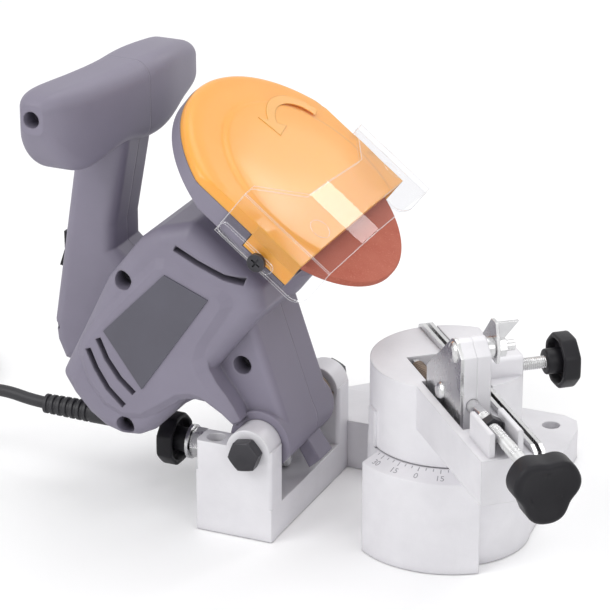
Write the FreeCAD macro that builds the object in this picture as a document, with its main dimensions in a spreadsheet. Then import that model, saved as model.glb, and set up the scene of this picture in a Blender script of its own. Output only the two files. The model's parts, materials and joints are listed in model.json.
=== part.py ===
import FreeCAD, Part
import Sketcher
import math
import os
from types import SimpleNamespace

Vector = FreeCAD.Vector
Rotation = FreeCAD.Rotation
Placement = FreeCAD.Placement

# Bench sharpener for saw chains. The origin is at the foot of the bench hole in the near cheek.
# X runs from the tilting head's bracket to the vise, Y runs away from the front, Z is up.
# The forms are drawn from the axis of the turntable, and their frames move them to the origin.

doc = FreeCAD.newDocument("ChainSharpener")
sheet = doc.addObject("Spreadsheet::Sheet", "Sizes")

driving_sizes = (
    # general clearances and walls
    ("slide_gap", "0.3"),
    ("run_gap", "0.05"),
    ("seat_gap", "0.03"),
    # drum and dial of the base
    ("drum_radius", "38.5"),
    ("drum_wall", "4.5"),
    ("deck_height", "49.3"),
    ("deck_thickness", "8"),
    ("dial_radius", "46.8"),
    ("dial_angle", "77"),
    ("dial_slope_height", "4"),
    # foot plate behind the drum
    ("foot_thickness", "15"),
    ("foot_back", "113.5"),
    ("foot_front", "46"),
    ("foot_left", "96"),
    ("ear_x", "15.6"),
    ("ear_y", "99.5"),
    ("ear_radius", "14"),
    ("left_ear_x", "78"),
    ("bench_hole_radius", "4.5"),
    ("link_height", "25"),
    ("link_reach", "46"),
    ("link_depth", "34"),
    # bracket of the head's pivot
    ("bracket_edge", "70.5"),
    ("bracket_length", "38.7"),
    ("cheek_gap", "66.6"),
    ("cheek_thickness", "13.4"),
    ("bench_hole_inset", "7.7"),
    ("cheek_height", "46"),
    ("floor_height", "16.5"),
    ("stop_wall", "12"),
    ("stop_wall_height", "31"),
    ("pivot_reach", "82.4"),
    ("pivot_height", "44.5"),
    ("pivot_radius", "4"),
    ("pivot_boss_radius", "11"),
    ("pivot_head_flats", "13.7"),
    ("pivot_head_height", "6.4"),
    ("pivot_nut_height", "8"),
    # screw that limits the grinding depth
    ("depth_screw_height", "21"),
    ("depth_screw_radius", "4"),
    ("depth_tip_reach", "82"),
    ("depth_screw_length", "63.5"),
    ("depth_nut_flats", "13"),
    ("depth_nut_height", "6.5"),
    ("depth_washer_radius", "8.5"),
    ("depth_washer_height", "1.6"),
    ("knob_flats", "25"),
    ("knob_length", "8.5"),
    ("knob_hub_radius", "6"),
    ("knob_hub_length", "5"),
    ("knob_rim", "1.2"),
    # turntable and its arm
    ("turn_angle", "49"),
    ("table_radius", "37.7"),
    ("table_bottom", "49.8"),
    ("table_top", "88.6"),
    ("table_flat", "24"),
    ("arm_length", "110.5"),
    ("arm_side", "26.5"),
    ("arm_bottom", "67.5"),
    ("channel_left", "22.6"),
    ("channel_right", "5"),
    ("channel_back", "5.6"),
    ("channel_front", "77"),
    ("channel_floor", "72"),
    ("lug_back", "13.5"),
    ("lug_front", "29"),
    ("lug_inner", "8"),
    ("lug_top", "98"),
    ("guide_back", "84"),
    ("guide_length", "24.5"),
    ("guide_height", "11.6"),
    ("guide_left", "22.2"),
    ("guide_width", "2.6"),
    ("guide_gap", "10.4"),
    ("index_width", "8"),
    ("index_height", "18"),
    ("index_depth", "1.2"),
    # chain rails and their clamp
    ("rail_back", "41"),
    ("rail_front", "112"),
    ("rail_bottom", "79"),
    ("rail_top", "91.5"),
    ("rail_thickness", "1.8"),
    ("rail_round", "6"),
    ("fixed_rail_face", "0.6"),
    ("moving_rail_face", "1.2"),
    ("rail_slot_right", "6"),
    ("clamp_x", "21"),
    ("clamp_height", "90"),
    ("clamp_radius", "3"),
    ("clamp_knob_start", "37.5"),
    # stop carriage with its rod, star knob and pawl
    ("carriage_back", "24"),
    ("carriage_front", "66.5"),
    ("carriage_left", "18.7"),
    ("carriage_right", "6"),
    ("carriage_top", "123.4"),
    ("plate_thickness", "1.5"),
    ("plate_back", "22.4"),
    ("shoulder_height", "97"),
    ("pawl_x", "57.4"),
    ("pawl_height", "117.2"),
    ("pawl_bolt_radius", "2.5"),
    ("pawl_spacer", "3.8"),
    ("pawl_thickness", "1.5"),
    ("pawl_nut_flats", "8"),
    ("pawl_nut_height", "4"),
    ("pawl_bolt_tail", "4.5"),
    ("dome_radius", "5"),
    ("dome_height", "1.8"),
    ("side_screw_x", "41"),
    ("side_screw_height", "91.3"),
    ("side_screw_radius", "2"),
    ("carriage_split", "12.6"),
    ("rod_y", "14.4"),
    ("rod_height", "94.6"),
    ("rod_radius", "3"),
    ("rod_back", "59"),
    ("rod_length", "94"),
    ("rod_nut_flats", "9"),
    ("rod_nut_height", "5"),
    ("rod_nut_x", "88"),
    ("star_radius", "15.6"),
    ("star_waist", "12.4"),
    ("star_length", "12"),
    ("star_dish", "3"),
    ("star_start", "146"),
    ("spring_y", "16.2"),
    ("spring_height", "84.6"),
    ("spring_radius", "3.1"),
    ("spring_wire", "0.6"),
    ("spring_turns", "13"),
    ("anchor_radius", "1.5"),
    ("anchor_x", "3.5"),
    # lock of the turntable under the deck
    ("lock_stud_radius", "4"),
    ("lock_stud_seat", "12"),
    ("lock_stud_length", "44"),
    ("lock_knob_radius", "16"),
    ("lock_knob_height", "14"),
    ("lock_washer_radius", "12"),
    ("lock_washer_height", "2"),
    # tilting head
    ("tilt_angle", "52.19"),
    ("motor_height", "62.3"),
    ("body_half_width", "41"),
    ("body_back", "50"),
    ("body_front", "64"),
    ("body_bottom", "38"),
    ("body_top", "104"),
    ("body_round", "8"),
    ("panel_step", "2.2"),
    ("panel_rim", "0.6"),
    ("neck_half_width", "16"),
    ("neck_hole_radius", "2"),
    ("neck_hole_depth", "5"),
    ("neck_hole_u", "45.9"),
    ("neck_hole_w", "110.9"),
    ("neck_round", "6"),
    ("leg_near", "30"),
    ("leg_far", "20"),
    ("leg_round", "4"),
    ("foot_radius", "15"),
    ("heel_half_width", "7"),
    ("handle_half_length", "64"),
    ("handle_depth", "29"),
    ("handle_tall", "39"),
    ("handle_x", "84.6"),
    ("handle_z", "147.5"),
    ("handle_sweep", "14"),
    ("handle_hole_radius", "4"),
    ("nose_radius", "27"),
    ("nose_front", "86.3"),
    ("cavity_radius", "22"),
    ("cavity_back", "32"),
    ("cavity_front", "58"),
    ("vent_width", "3"),
    ("vent_depth", "7"),
    ("label_thickness", "0.6"),
    ("screw_head_radius", "3.6"),
    ("screw_recess_radius", "4.6"),
    ("screw_recess", "11"),
    # motor inside the head
    ("shaft_radius", "5"),
    ("shaft_back", "44"),
    ("shaft_front", "97.5"),
    ("rotor_radius", "13.4"),
    ("rotor_length", "46"),
    ("stator_bore", "13.8"),
    ("stator_gap", "0.4"),
    ("commutator_radius", "9.5"),
    ("commutator_length", "7"),
    ("fan_radius", "20"),
    ("fan_length", "9"),
    ("bearing_radius", "11"),
    ("bearing_width", "8"),
    ("rear_bearing_at", "40"),
    ("front_bearing_at", "68"),
    # grinding disc and guard
    ("disc_radius", "54"),
    ("disc_bore", "11.5"),
    ("disc_thickness", "3.2"),
    ("disc_at", "94"),
    ("flange_radius", "17"),
    ("flange_thickness", "3"),
    ("guard_radius", "70"),
    ("guard_wall", "2"),
    ("guard_back", "86.5"),
    ("guard_split", "96"),
    ("guard_front", "101.5"),
    ("guard_edge", "25"),
    ("cover_edge", "25.3"),
    ("guard_flat", "60.3"),
    ("guard_flat_top", "98"),
    ("cover_tab_drop", "26"),
    # clear shield
    ("shield_half_width", "63"),
    ("shield_wall", "2"),
    ("shield_depth", "25"),
    ("shield_step", "4"),
    ("shield_strip_near", "32"),
    ("shield_strip_far", "13"),
    ("shield_far_fold", "26"),
    ("shield_corner", "8"),
    ("shield_back", "86"),
    ("shield_bottom", "25"),
    ("shield_height", "52"),
    ("shield_dip", "19"),
    ("shield_drop", "7"),
    ("shield_skew", "4"),
    ("shield_slot_width", "5"),
    ("shield_slot_length", "26"),
    ("shield_screw_u", "89.5"),
    ("shield_screw_w", "53"),
    ("shield_screw_radius", "2"),
    # switch on the back of the neck
    ("switch_at", "0.42"),
    ("switch_length", "24"),
    ("switch_width", "15"),
    ("switch_depth", "10"),
    ("rocker_height", "3"),
    # mains lead
    ("cord_radius", "3"),
    ("relief_radius", "5.2"),
    ("relief_tip_radius", "4.7"),
    ("relief_length", "45"),
    ("relief_ribs", "7"),
    ("relief_y", "28"),
    ("relief_start_x", "153"),
    ("relief_start_z", "41"),
    ("coil_x", "333"),
    ("coil_y", "49.4"),
    ("coil_outer", "52"),
    ("coil_pitch", "6.6"),
    ("coil_turns", "3"),
    ("plug_rise", "5"),
    ("plug_length", "36"),
    ("plug_radius", "9.5"),
    ("plug_pin_radius", "2"),
    ("plug_pin_length", "19"),
    ("plug_pin_spacing", "12.7"),
    # spring that lifts the head
    ("lift_radius", "8.6"),
    ("lift_wire", "1"),
    ("lift_turns", "4"),
)

for row, (alias, value) in enumerate(driving_sizes, 1):
    sheet.set("A%d" % row, alias)
    sheet.set("B%d" % row, value)
    sheet.setAlias("B%d" % row, alias)
doc.recompute()


class Size:
    # A number that carries its formula in the sheet along with its value.
    def __init__(self, value, text):
        self.value = float(value)
        self.text = text

    def __float__(self):
        return self.value

    def joined(self, other, sign, value):
        return Size(value, "(%s %s %s)" % (self.text, sign, lift(other).text))

    def __add__(self, other):
        return self.joined(other, "+", self.value + float(other))

    def __sub__(self, other):
        return self.joined(other, "-", self.value - float(other))

    def __mul__(self, other):
        return self.joined(other, "*", self.value * float(other))

    def __truediv__(self, other):
        return self.joined(other, "/", self.value / float(other))

    def __radd__(self, other):
        return lift(other) + self

    def __rsub__(self, other):
        return lift(other) - self

    def __rmul__(self, other):
        return lift(other) * self

    def __neg__(self):
        return Size(-self.value, "(0 - %s)" % self.text)


def lift(value):
    return value if isinstance(value, Size) else Size(value, repr(float(value)))


dim = SimpleNamespace(**{alias: Size(value, "Sizes." + alias) for alias, value in driving_sizes})

# Frames: each sub-part is drawn in the frame of the assembly that carries it.
bracket_left = -dim.bracket_edge - dim.bracket_length
bench_hole_x = bracket_left + dim.bench_hole_inset
cheek_middle = (dim.cheek_gap + dim.cheek_thickness) / 2
base_frame = Placement(Vector(-float(bench_hole_x), float(cheek_middle), 0), Rotation())
table_turn = Placement(Vector(), Rotation(Vector(0, 0, 1), -float(dim.turn_angle)))
table_frame = base_frame.multiply(table_turn)
pivot_point = Vector(-float(dim.pivot_reach), 0, float(dim.pivot_height))
head_turn = Placement(pivot_point, Rotation(Vector(0, 1, 0), -float(dim.tilt_angle)))
head_frame = base_frame.multiply(head_turn)

# Planes to draw on: XY with its pad along Z, XZ with its pad along -Y, YZ with its pad along X.
drawing_planes = {
    "xy": Rotation(),
    "xz": Rotation(Vector(1, 0, 0), 90),
    "yz": Rotation(Vector(1, 1, 1), 120),
}
axis_turns = {
    "x": Rotation(Vector(0, 1, 0), 90),
    "y": Rotation(Vector(1, 0, 0), -90),
    "z": Rotation(),
}

nodes = []


def bind(target, prop, size):
    target.setExpression(prop, lift(size).text)


def finish(target, node, frame=base_frame):
    target.Label = node
    target.Placement = frame.multiply(target.Placement)
    nodes.append(target)
    return target


def draw_outline(sketch, points):
    count = len(points)
    corners = [Vector(float(x), float(y), 0) for x, y in points]
    first = sketch.GeometryCount
    for index in range(count):
        sketch.addGeometry(Part.LineSegment(corners[index], corners[(index + 1) % count]))
    for index in range(count):
        after = first + (index + 1) % count
        sketch.addConstraint(Sketcher.Constraint("Coincident", first + index, 2, after, 1))
    for index, point in enumerate(points):
        for kind, axis, coordinate in (("DistanceX", -2, point[0]), ("DistanceY", -1, point[1])):
            line = first + index
            if float(coordinate) == 0:
                sketch.addConstraint(Sketcher.Constraint("PointOnObject", line, 1, axis))
                continue
            number = sketch.addConstraint(
                Sketcher.Constraint(kind, -1, 1, line, 1, float(coordinate)))
            if isinstance(coordinate, Size):
                bind(sketch, "Constraints[%d]" % number, coordinate)


def new_sketch(name, role):
    body = doc.addObject("PartDesign::Body", name + "_body")
    sketch = body.newObject("Sketcher::SketchObject", name + "_sketch")
    plane = [item for item in body.Origin.OriginFeatures if item.Role == role][0]
    sketch.AttachmentSupport = (plane, [""])
    sketch.MapMode = "FlatFace"
    return body, sketch


def prism(name, plane, points, start, end):
    # A padded outline. Start and end are measured along the frame's own axis.
    body, sketch = new_sketch(name, "XY_Plane")
    draw_outline(sketch, points)
    low = -lift(end) if plane == "xz" else lift(start)
    bind(sketch, "AttachmentOffset.Base.z", low)
    pad = body.newObject("PartDesign::Pad", name + "_pad")
    pad.Profile = sketch
    bind(pad, "Length", lift(end) - start)
    body.Placement = Placement(Vector(), drawing_planes[plane])
    return body


def turned(name, points, axis="z", at=(0, 0, 0)):
    # A revolved profile of (radius, place along the axis) points.
    body, sketch = new_sketch(name, "XZ_Plane")
    draw_outline(sketch, points)
    turn = body.newObject("PartDesign::Revolution", name + "_turn")
    turn.Profile = sketch
    turn.ReferenceAxis = (sketch, ["V_Axis"])
    turn.Angle = 360
    body.Placement = Placement(Vector(*[float(value) for value in at]), axis_turns[axis])
    return body


def rod(name, radius, start, end, axis="z", at=(0, 0, 0), angle=None):
    # A round bar from start to end along an axis through a point.
    cylinder = doc.addObject("Part::Cylinder", name)
    bind(cylinder, "Radius", radius)
    bind(cylinder, "Height", lift(end) - start)
    if angle is not None:
        bind(cylinder, "Angle", angle)
    offset = {"x": Vector(1, 0, 0), "y": Vector(0, 1, 0), "z": Vector(0, 0, 1)}[axis]
    centre = Vector(*[float(value) for value in at]) + offset * float(start)
    cylinder.Placement = Placement(centre, axis_turns[axis])
    return cylinder


def block(name, low, high):
    box = doc.addObject("Part::Box", name)
    for prop, first, last in zip(("Length", "Width", "Height"), low, high):
        bind(box, prop, lift(last) - first)
    box.Placement = Placement(Vector(*[float(value) for value in low]), Rotation())
    return box


def fuse(name, parts):
    joined = doc.addObject("Part::MultiFuse", name)
    joined.Shapes = parts
    joined.Refine = True
    return joined


def fuse_in_turn(name, parts):
    # Joins the parts one after the other.
    joined = parts[0]
    for number, part in enumerate(parts[1:], 1):
        step = doc.addObject("Part::Fuse", "%s_%d" % (name, number))
        step.Base = joined
        step.Tool = part
        joined = step
    return joined


def cut(name, base, tools):
    tool = tools[0] if len(tools) == 1 else fuse(name + "_tools", tools)
    result = doc.addObject("Part::Cut", name)
    result.Base = base
    result.Tool = tool
    return result


def common(name, first, second):
    result = doc.addObject("Part::Common", name)
    result.Base = first
    result.Tool = second
    return result


def solid(name, shape):
    feature = doc.addObject("Part::Feature", name)
    feature.Shape = shape
    return feature


def rounded(name, base, radius, wanted):
    # Rounds the edges of the base that the test picks.
    doc.recompute()
    picked = [number for number, edge in enumerate(base.Shape.Edges, 1) if wanted(edge)]
    result = doc.addObject("Part::Fillet", name)
    result.Base = base
    result.Edges = [(number, float(radius), float(radius)) for number in picked]
    return result


def along(axis):
    # An edge test: straight and parallel to the axis.
    direction = Vector(*axis)

    def test(edge):
        if edge.Curve.TypeId != "Part::GeomLine":
            return False
        return abs(abs(edge.Curve.Direction.dot(direction)) - 1) < 1e-6
    return test


def regular(sides, flats, centre=(0, 0), turn=0.0):
    # Corners of a nut or knob outline, given across its flats.
    reach = lift(flats) / (2 * math.cos(math.pi / sides))
    corners = []
    for step in range(sides):
        angle = math.radians(turn) + 2 * math.pi * step / sides
        x = centre[0] + reach * math.cos(angle)
        y = centre[1] + reach * math.sin(angle)
        corners.append((x, y))
    return corners


def biarc_edges(points, tangents):
    # Two tangent arcs from each point to the next.
    edges = []
    for index in range(len(points) - 1):
        start, end = points[index], points[index + 1]
        first, last = tangents[index], tangents[index + 1]
        span = end - start
        total = first + last
        spread = 2 * (1 - first.dot(last))
        if spread < 1e-9:
            reach = span.dot(span) / (4 * span.dot(last))
        else:
            projected = span.dot(total)
            reach = (-projected + math.sqrt(projected ** 2 + spread * span.dot(span))) / spread
        middle = (start + end + (first - last) * reach) * 0.5
        edges.append(arc_edge(start, first, middle))
        edges.append(arc_edge(end, -last, middle))
    return edges


def arc_edge(start, tangent, end):
    chord = end - start
    length = chord.Length
    direction = Vector(chord).normalize()
    side = tangent - direction * tangent.dot(direction)
    if side.Length < 1e-7:
        return Part.LineSegment(start, end).toShape()
    lean = math.acos(max(-1.0, min(1.0, tangent.dot(direction))))
    crown = (start + end) * 0.5 + side.normalize() * (length / 2 * math.tan(lean / 2))
    return Part.Arc(start, crown, end).toShape()


def tube(path, start, tangent, radius):
    # A round tube along a wire, made as a pipe shell.
    profile = Part.Wire([Part.makeCircle(radius, start, tangent)])
    return path.makePipeShell([profile], True, False)


def least_self_gap(points, radius, clear_length):
    # Least distance between stretches of a wound tube that aren't neighbours along it.
    lengths = [0.0]
    for index in range(1, len(points)):
        lengths.append(lengths[-1] + (points[index] - points[index - 1]).Length)
    least = None
    for index in range(len(points)):
        for other in range(index + 1, len(points)):
            if lengths[other] - lengths[index] < clear_length:
                continue
            apart = (points[other] - points[index]).Length - 2 * radius
            least = apart if least is None else min(least, apart)
    return least


def hex_nut(name, flats, hole, start, end, plane, centre, turn=0.0):
    blank = prism(name + "_blank", plane, regular(6, flats, centre, turn), start, end)
    axis = {"xz": "y", "yz": "x", "xy": "z"}[plane]
    at = {"xz": (centre[0], 0, centre[1]), "yz": (0, centre[0], centre[1]), "xy": centre + (0,)}[plane]
    return cut(name, blank, [rod(name + "_hole", hole, start, end, axis, at)])


def octagon_knob(name, start, direction, plane, centre, hole, depth):
    # A moulded knob: hub, eight-sided grip with a chamfered rim and a blind hole for its screw.
    hub_end = start + direction * dim.knob_hub_length
    grip_end = hub_end + direction * dim.knob_length
    low, high = (hub_end, grip_end) if direction > 0 else (grip_end, hub_end)
    hub_low, hub_high = (start, hub_end) if direction > 0 else (hub_end, start)
    axis = {"xz": "y", "yz": "x"}[plane]
    at = {"xz": (centre[0], 0, centre[1]), "yz": (0, centre[0], centre[1])}[plane]
    grip = prism(name + "_grip", plane, regular(8, dim.knob_flats, centre, 22.5), low, high)
    rim = doc.addObject("Part::Chamfer", name + "_rim")
    doc.recompute()
    rim.Base = grip
    chamfer = float(dim.knob_rim)
    rim.Edges = [(number, chamfer, chamfer) for number, edge in enumerate(grip.Shape.Edges, 1)]
    hub = rod(name + "_hub", dim.knob_hub_radius, hub_low, hub_high, axis, at)
    reach = start + direction * depth
    hole_low, hole_high = (start, reach) if direction > 0 else (reach, start)
    bore = rod(name + "_bore", hole, hole_low, hole_high, axis, at)
    return cut(name, fuse(name + "_form", [rim, hub]), [bore])


# Casting of the base: drum, dial sector, foot plate with ears, link and the pivot bracket.
slope_start = dim.deck_height - dim.dial_slope_height
drum = rod("drum", dim.drum_radius, 0, dim.deck_height)
dial_start = Rotation(Vector(0, 0, 1), -90 - float(dim.dial_angle) / 2)
dial_ring = rod("dial_ring", dim.dial_radius, 0, slope_start, angle=dim.dial_angle)
dial_ring.Placement = Placement(Vector(), dial_start)
dial_slope = doc.addObject("Part::Cone", "dial_slope")
bind(dial_slope, "Radius1", dim.dial_radius)
bind(dial_slope, "Radius2", dim.drum_radius)
bind(dial_slope, "Height", dim.dial_slope_height)
bind(dial_slope, "Angle", dim.dial_angle)
dial_slope.Placement = Placement(Vector(0, 0, float(slope_start)), dial_start)

foot_corner = 12
foot_points = [
    (dim.drum_radius - 0.5, 0),
    (dim.ear_x + dim.ear_radius, dim.ear_y),
    (dim.ear_x + dim.ear_radius - foot_corner / 3, dim.foot_back - foot_corner / 3),
    (dim.ear_x + dim.ear_radius - foot_corner, dim.foot_back),
    (foot_corner - dim.foot_left, dim.foot_back),
    (-dim.foot_left, dim.foot_back - foot_corner),
    (-dim.foot_left, dim.foot_front),
    (-dim.drum_radius * 0.75, dim.foot_front),
    (-dim.drum_radius * 0.75, 0),
]
foot_plate = prism("foot_plate", "xy", foot_points, 0, dim.foot_thickness)
link = block("link", (-dim.foot_left, dim.foot_front - 2, 0),
             (dim.link_reach - dim.foot_left, dim.foot_front + dim.link_depth, dim.link_height))
cheek_inner = dim.cheek_gap / 2
cheek_outer = cheek_inner + dim.cheek_thickness
floor = block("bracket_floor", (bracket_left, -cheek_outer, 0),
              (-dim.bracket_edge, cheek_outer, dim.floor_height))
stop_wall = block("stop_wall", (bracket_left, -cheek_outer, 0),
                  (bracket_left + dim.stop_wall, cheek_outer, dim.stop_wall_height))
pivot_at = (-dim.pivot_reach, 0, dim.pivot_height)
cheeks = []
for side, low, high in (("near", -cheek_outer, -cheek_inner), ("far", cheek_inner, cheek_outer)):
    wall = block(side + "_cheek_block", (bracket_left, low, 0), (-dim.bracket_edge, high, dim.cheek_height))
    cheeks.append(rounded(side + "_cheek", wall, 2, along((0, 0, 1))))
    cheeks.append(rod(side + "_pivot_boss", dim.pivot_boss_radius, low, high, "y", pivot_at))
casting = fuse("casting_form", [drum, dial_ring, dial_slope, foot_plate, link, floor, stop_wall] + cheeks)

hollow = rod("drum_hollow", dim.drum_radius - dim.drum_wall, 0, dim.deck_height - dim.deck_thickness)
casting_cuts = [
    hollow,
    rod("lock_hole", dim.lock_stud_radius + dim.run_gap, 0, dim.deck_height),
    rod("pivot_hole", dim.pivot_radius + dim.run_gap, -cheek_outer, cheek_outer, "y", pivot_at),
    rod("depth_hole", dim.depth_screw_radius + dim.run_gap, bracket_left, bracket_left + dim.stop_wall, "x",
        (0, 0, dim.depth_screw_height)),
    rod("ear_hole", dim.bench_hole_radius, 0, dim.foot_thickness, "z", (dim.ear_x, dim.ear_y, 0)),
    rod("left_ear_hole", dim.bench_hole_radius, 0, dim.foot_thickness, "z", (-dim.left_ear_x, dim.ear_y, 0)),
    rod("near_hole", dim.bench_hole_radius, 0, dim.cheek_height, "z", (bench_hole_x, -cheek_middle, 0)),
]
casting_cut = cut("casting", casting, casting_cuts)
# The casting is kept as two nodes, the bracket and the rest, which meet on the far cheek's outer face.
bracket_top = dim.pivot_height + dim.pivot_boss_radius + 1
bracket_space = block("bracket_space", (bracket_left - 1, -cheek_outer, -1),
                      (-dim.bracket_edge, cheek_outer, bracket_top))
finish(common("bracket_form", casting_cut, bracket_space), "pivot_bracket")
finish(cut("base_form", casting_cut, [bracket_space]), "base_casting")

# Pivot bolt and nut of the head.
bolt_end = cheek_outer + dim.pivot_nut_height + 2
bolt_head = prism("pivot_head", "xz", regular(6, dim.pivot_head_flats, (pivot_at[0], pivot_at[2]), 10),
                  -cheek_outer - dim.pivot_head_height, -cheek_outer)
bolt_shank = rod("pivot_shank", dim.pivot_radius, -cheek_outer, bolt_end, "y", pivot_at)
finish(fuse("pivot_bolt_form", [bolt_head, bolt_shank]), "pivot_bolt")
finish(hex_nut("pivot_nut_form", dim.pivot_head_flats, dim.pivot_radius + dim.seat_gap, cheek_outer,
               cheek_outer + dim.pivot_nut_height, "xz", (pivot_at[0], pivot_at[2]), 25), "pivot_nut")

# Depth stop: screw with nut and knob, and the washer between them.
depth_at = (0, dim.depth_screw_height)
depth_axis = (0, 0, dim.depth_screw_height)
depth_end = -dim.depth_tip_reach - dim.depth_screw_length
depth_knob_face = depth_end - 2 + dim.knob_length + dim.knob_hub_length
finish(rod("depth_screw_form", dim.depth_screw_radius, depth_end, -dim.depth_tip_reach, "x", depth_axis),
       "depth_screw")
finish(octagon_knob("depth_knob_form", depth_knob_face, -1, "yz", depth_at,
                    dim.depth_screw_radius + dim.seat_gap, depth_knob_face - depth_end + dim.seat_gap),
       "depth_knob")
washer_end = depth_knob_face + dim.depth_washer_height
depth_ring = rod("depth_ring", dim.depth_washer_radius, depth_knob_face + dim.seat_gap,
                 washer_end + dim.seat_gap, "x", depth_axis)
depth_eye = rod("depth_eye", dim.depth_screw_radius + dim.run_gap, depth_knob_face,
                washer_end + 2 * dim.seat_gap, "x", depth_axis)
finish(cut("depth_washer_form", depth_ring, [depth_eye]), "depth_washer")
nut_start = washer_end + 2 * dim.seat_gap
finish(hex_nut("depth_nut_form", dim.depth_nut_flats, dim.depth_screw_radius + dim.seat_gap, nut_start,
               nut_start + dim.depth_nut_height, "yz", depth_at), "depth_nut")

# Turntable with its arm, clamp lug, rod guides and the channel of the stop carriage.
table_drum = rod("table_drum", dim.table_radius, dim.table_bottom, dim.table_top)
far_side = dim.table_radius + 5
trim = block("table_trim", (-far_side, dim.table_flat, dim.table_bottom - 1),
             (far_side, far_side, dim.table_top + 1))
arm_right = -dim.fixed_rail_face - dim.rail_thickness
arm = block("arm", (0, -dim.arm_side, dim.arm_bottom), (dim.arm_length, arm_right, dim.table_top))
lug = block("lug", (dim.lug_back, dim.lug_inner, dim.arm_bottom),
            (dim.lug_front, dim.table_flat, dim.lug_top))
lug_soft = rounded("lug_soft", lug, 2, along((0, 1, 0)))
guides = []
guide_top = dim.table_top + dim.guide_height
for side, left in (("left", -dim.guide_left), ("right", dim.guide_width + dim.guide_gap - dim.guide_left)):
    guide = block(side + "_guide", (dim.guide_back, left, dim.table_top - 1),
                  (dim.guide_back + dim.guide_length, left + dim.guide_width, guide_top))
    guides.append(rounded(side + "_guide_soft", guide, 1, along((1, 0, 0))))
index_pad = block("index_pad", (-dim.index_width / 2, -dim.table_radius - dim.index_depth, dim.table_bottom),
                  (dim.index_width / 2, -dim.table_radius + 2, dim.table_bottom + dim.index_height))
spring_side = -dim.spring_y - dim.spring_radius - dim.spring_wire - dim.slide_gap
table_round = cut("table_round", table_drum, [trim])
table_form = fuse("table_form", [table_round, arm, lug_soft, index_pad] + guides)
table_cuts = [
    block("rail_slot", (-far_side, arm_right, dim.rail_bottom),
          (dim.arm_length + 5, dim.rail_slot_right, dim.lug_top + 1)),
    block("carriage_channel", (dim.plate_back - dim.slide_gap, -dim.channel_left, dim.channel_floor),
          (dim.channel_front, -dim.channel_right, dim.table_top + 1)),
    block("spring_channel", (-dim.channel_back, spring_side, dim.channel_floor),
          (dim.plate_back, -dim.channel_right, dim.table_top + 1)),
    rod("clamp_hole", dim.clamp_radius + dim.run_gap, dim.rail_slot_right - 1, dim.table_flat + 1, "y",
        (dim.clamp_x, 0, dim.clamp_height)),
    rod("stud_hole", dim.lock_stud_radius + dim.seat_gap, dim.table_bottom, dim.table_bottom + dim.lock_stud_seat),
]
finish(cut("table_casting", table_form, table_cuts), "turntable", table_frame)

# Lock of the turntable: stud from its underside, washer and knob under the deck.
stud_low = dim.table_bottom + dim.lock_stud_seat - dim.lock_stud_length
finish(rod("lock_stud_form", dim.lock_stud_radius, stud_low, dim.table_bottom + dim.lock_stud_seat),
       "lock_stud", table_frame)
deck_under = dim.deck_height - dim.deck_thickness
lock_top = deck_under - dim.lock_washer_height - dim.slide_gap
lock_ring = rod("lock_ring", dim.lock_washer_radius, lock_top, deck_under - dim.slide_gap / 2)
lock_eye = rod("lock_eye", dim.lock_stud_radius + dim.run_gap, lock_top, deck_under)
finish(cut("lock_washer_form", lock_ring, [lock_eye]), "lock_washer")
knob_top = lock_top - dim.slide_gap
lock_profile = [
    (dim.lock_stud_radius + dim.run_gap, knob_top - dim.lock_knob_height),
    (dim.lock_knob_radius - 2, knob_top - dim.lock_knob_height),
    (dim.lock_knob_radius, knob_top - dim.lock_knob_height + 2),
    (dim.lock_knob_radius, knob_top - 5),
    (dim.lock_knob_radius - 6, knob_top),
    (dim.lock_stud_radius + dim.run_gap, knob_top),
]
lock_blank = turned("lock_blank", lock_profile)
lock_flutes = []
for step in range(6):
    angle = math.pi * step / 3
    reach = dim.lock_knob_radius + 2.5
    lock_flutes.append(rod("lock_flute_%d" % step, 4, stud_low, knob_top + 1, "z",
                           (reach * math.cos(angle), reach * math.sin(angle), 0)))
finish(cut("lock_knob_form", lock_blank, lock_flutes), "lock_knob", table_frame)

# Chain rails: a fixed bar on the arm and a moving bar that the clamp screw presses.
rail_low = dim.rail_bottom + dim.slide_gap
rail_points = [
    (-dim.rail_back, rail_low),
    (dim.rail_front, rail_low),
    (dim.rail_front, dim.rail_top - dim.rail_round),
    (dim.rail_front - dim.rail_round * 0.3, dim.rail_top - dim.rail_round * 0.3),
    (dim.rail_front - dim.rail_round, dim.rail_top),
    (dim.rail_round - dim.rail_back, dim.rail_top),
    (dim.rail_round * 0.3 - dim.rail_back, dim.rail_top - dim.rail_round * 0.3),
    (-dim.rail_back, dim.rail_top - dim.rail_round),
]
finish(prism("fixed_rail_form", "xz", rail_points, arm_right, -dim.fixed_rail_face), "fixed_rail", table_frame)
moving_back = dim.moving_rail_face + dim.rail_thickness
finish(prism("moving_rail_form", "xz", rail_points, dim.moving_rail_face, moving_back), "moving_rail", table_frame)
clamp_axis = (dim.clamp_x, 0, dim.clamp_height)
clamp_end = dim.clamp_knob_start + dim.knob_hub_length + dim.knob_length - 2
finish(rod("clamp_screw_form", dim.clamp_radius, moving_back, clamp_end, "y", clamp_axis),
       "clamp_screw", table_frame)
finish(octagon_knob("clamp_knob_form", dim.clamp_knob_start, 1, "xz", (dim.clamp_x, dim.clamp_height),
                    dim.clamp_radius + dim.seat_gap, clamp_end - dim.clamp_knob_start + dim.seat_gap),
       "clamp_knob", table_frame)

# Stop carriage: two die-cast halves, a sheet plate, screws, the pawl and its bolt.
carriage_low = dim.channel_floor + dim.slide_gap
crown = dim.carriage_top - dim.pawl_height


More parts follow.
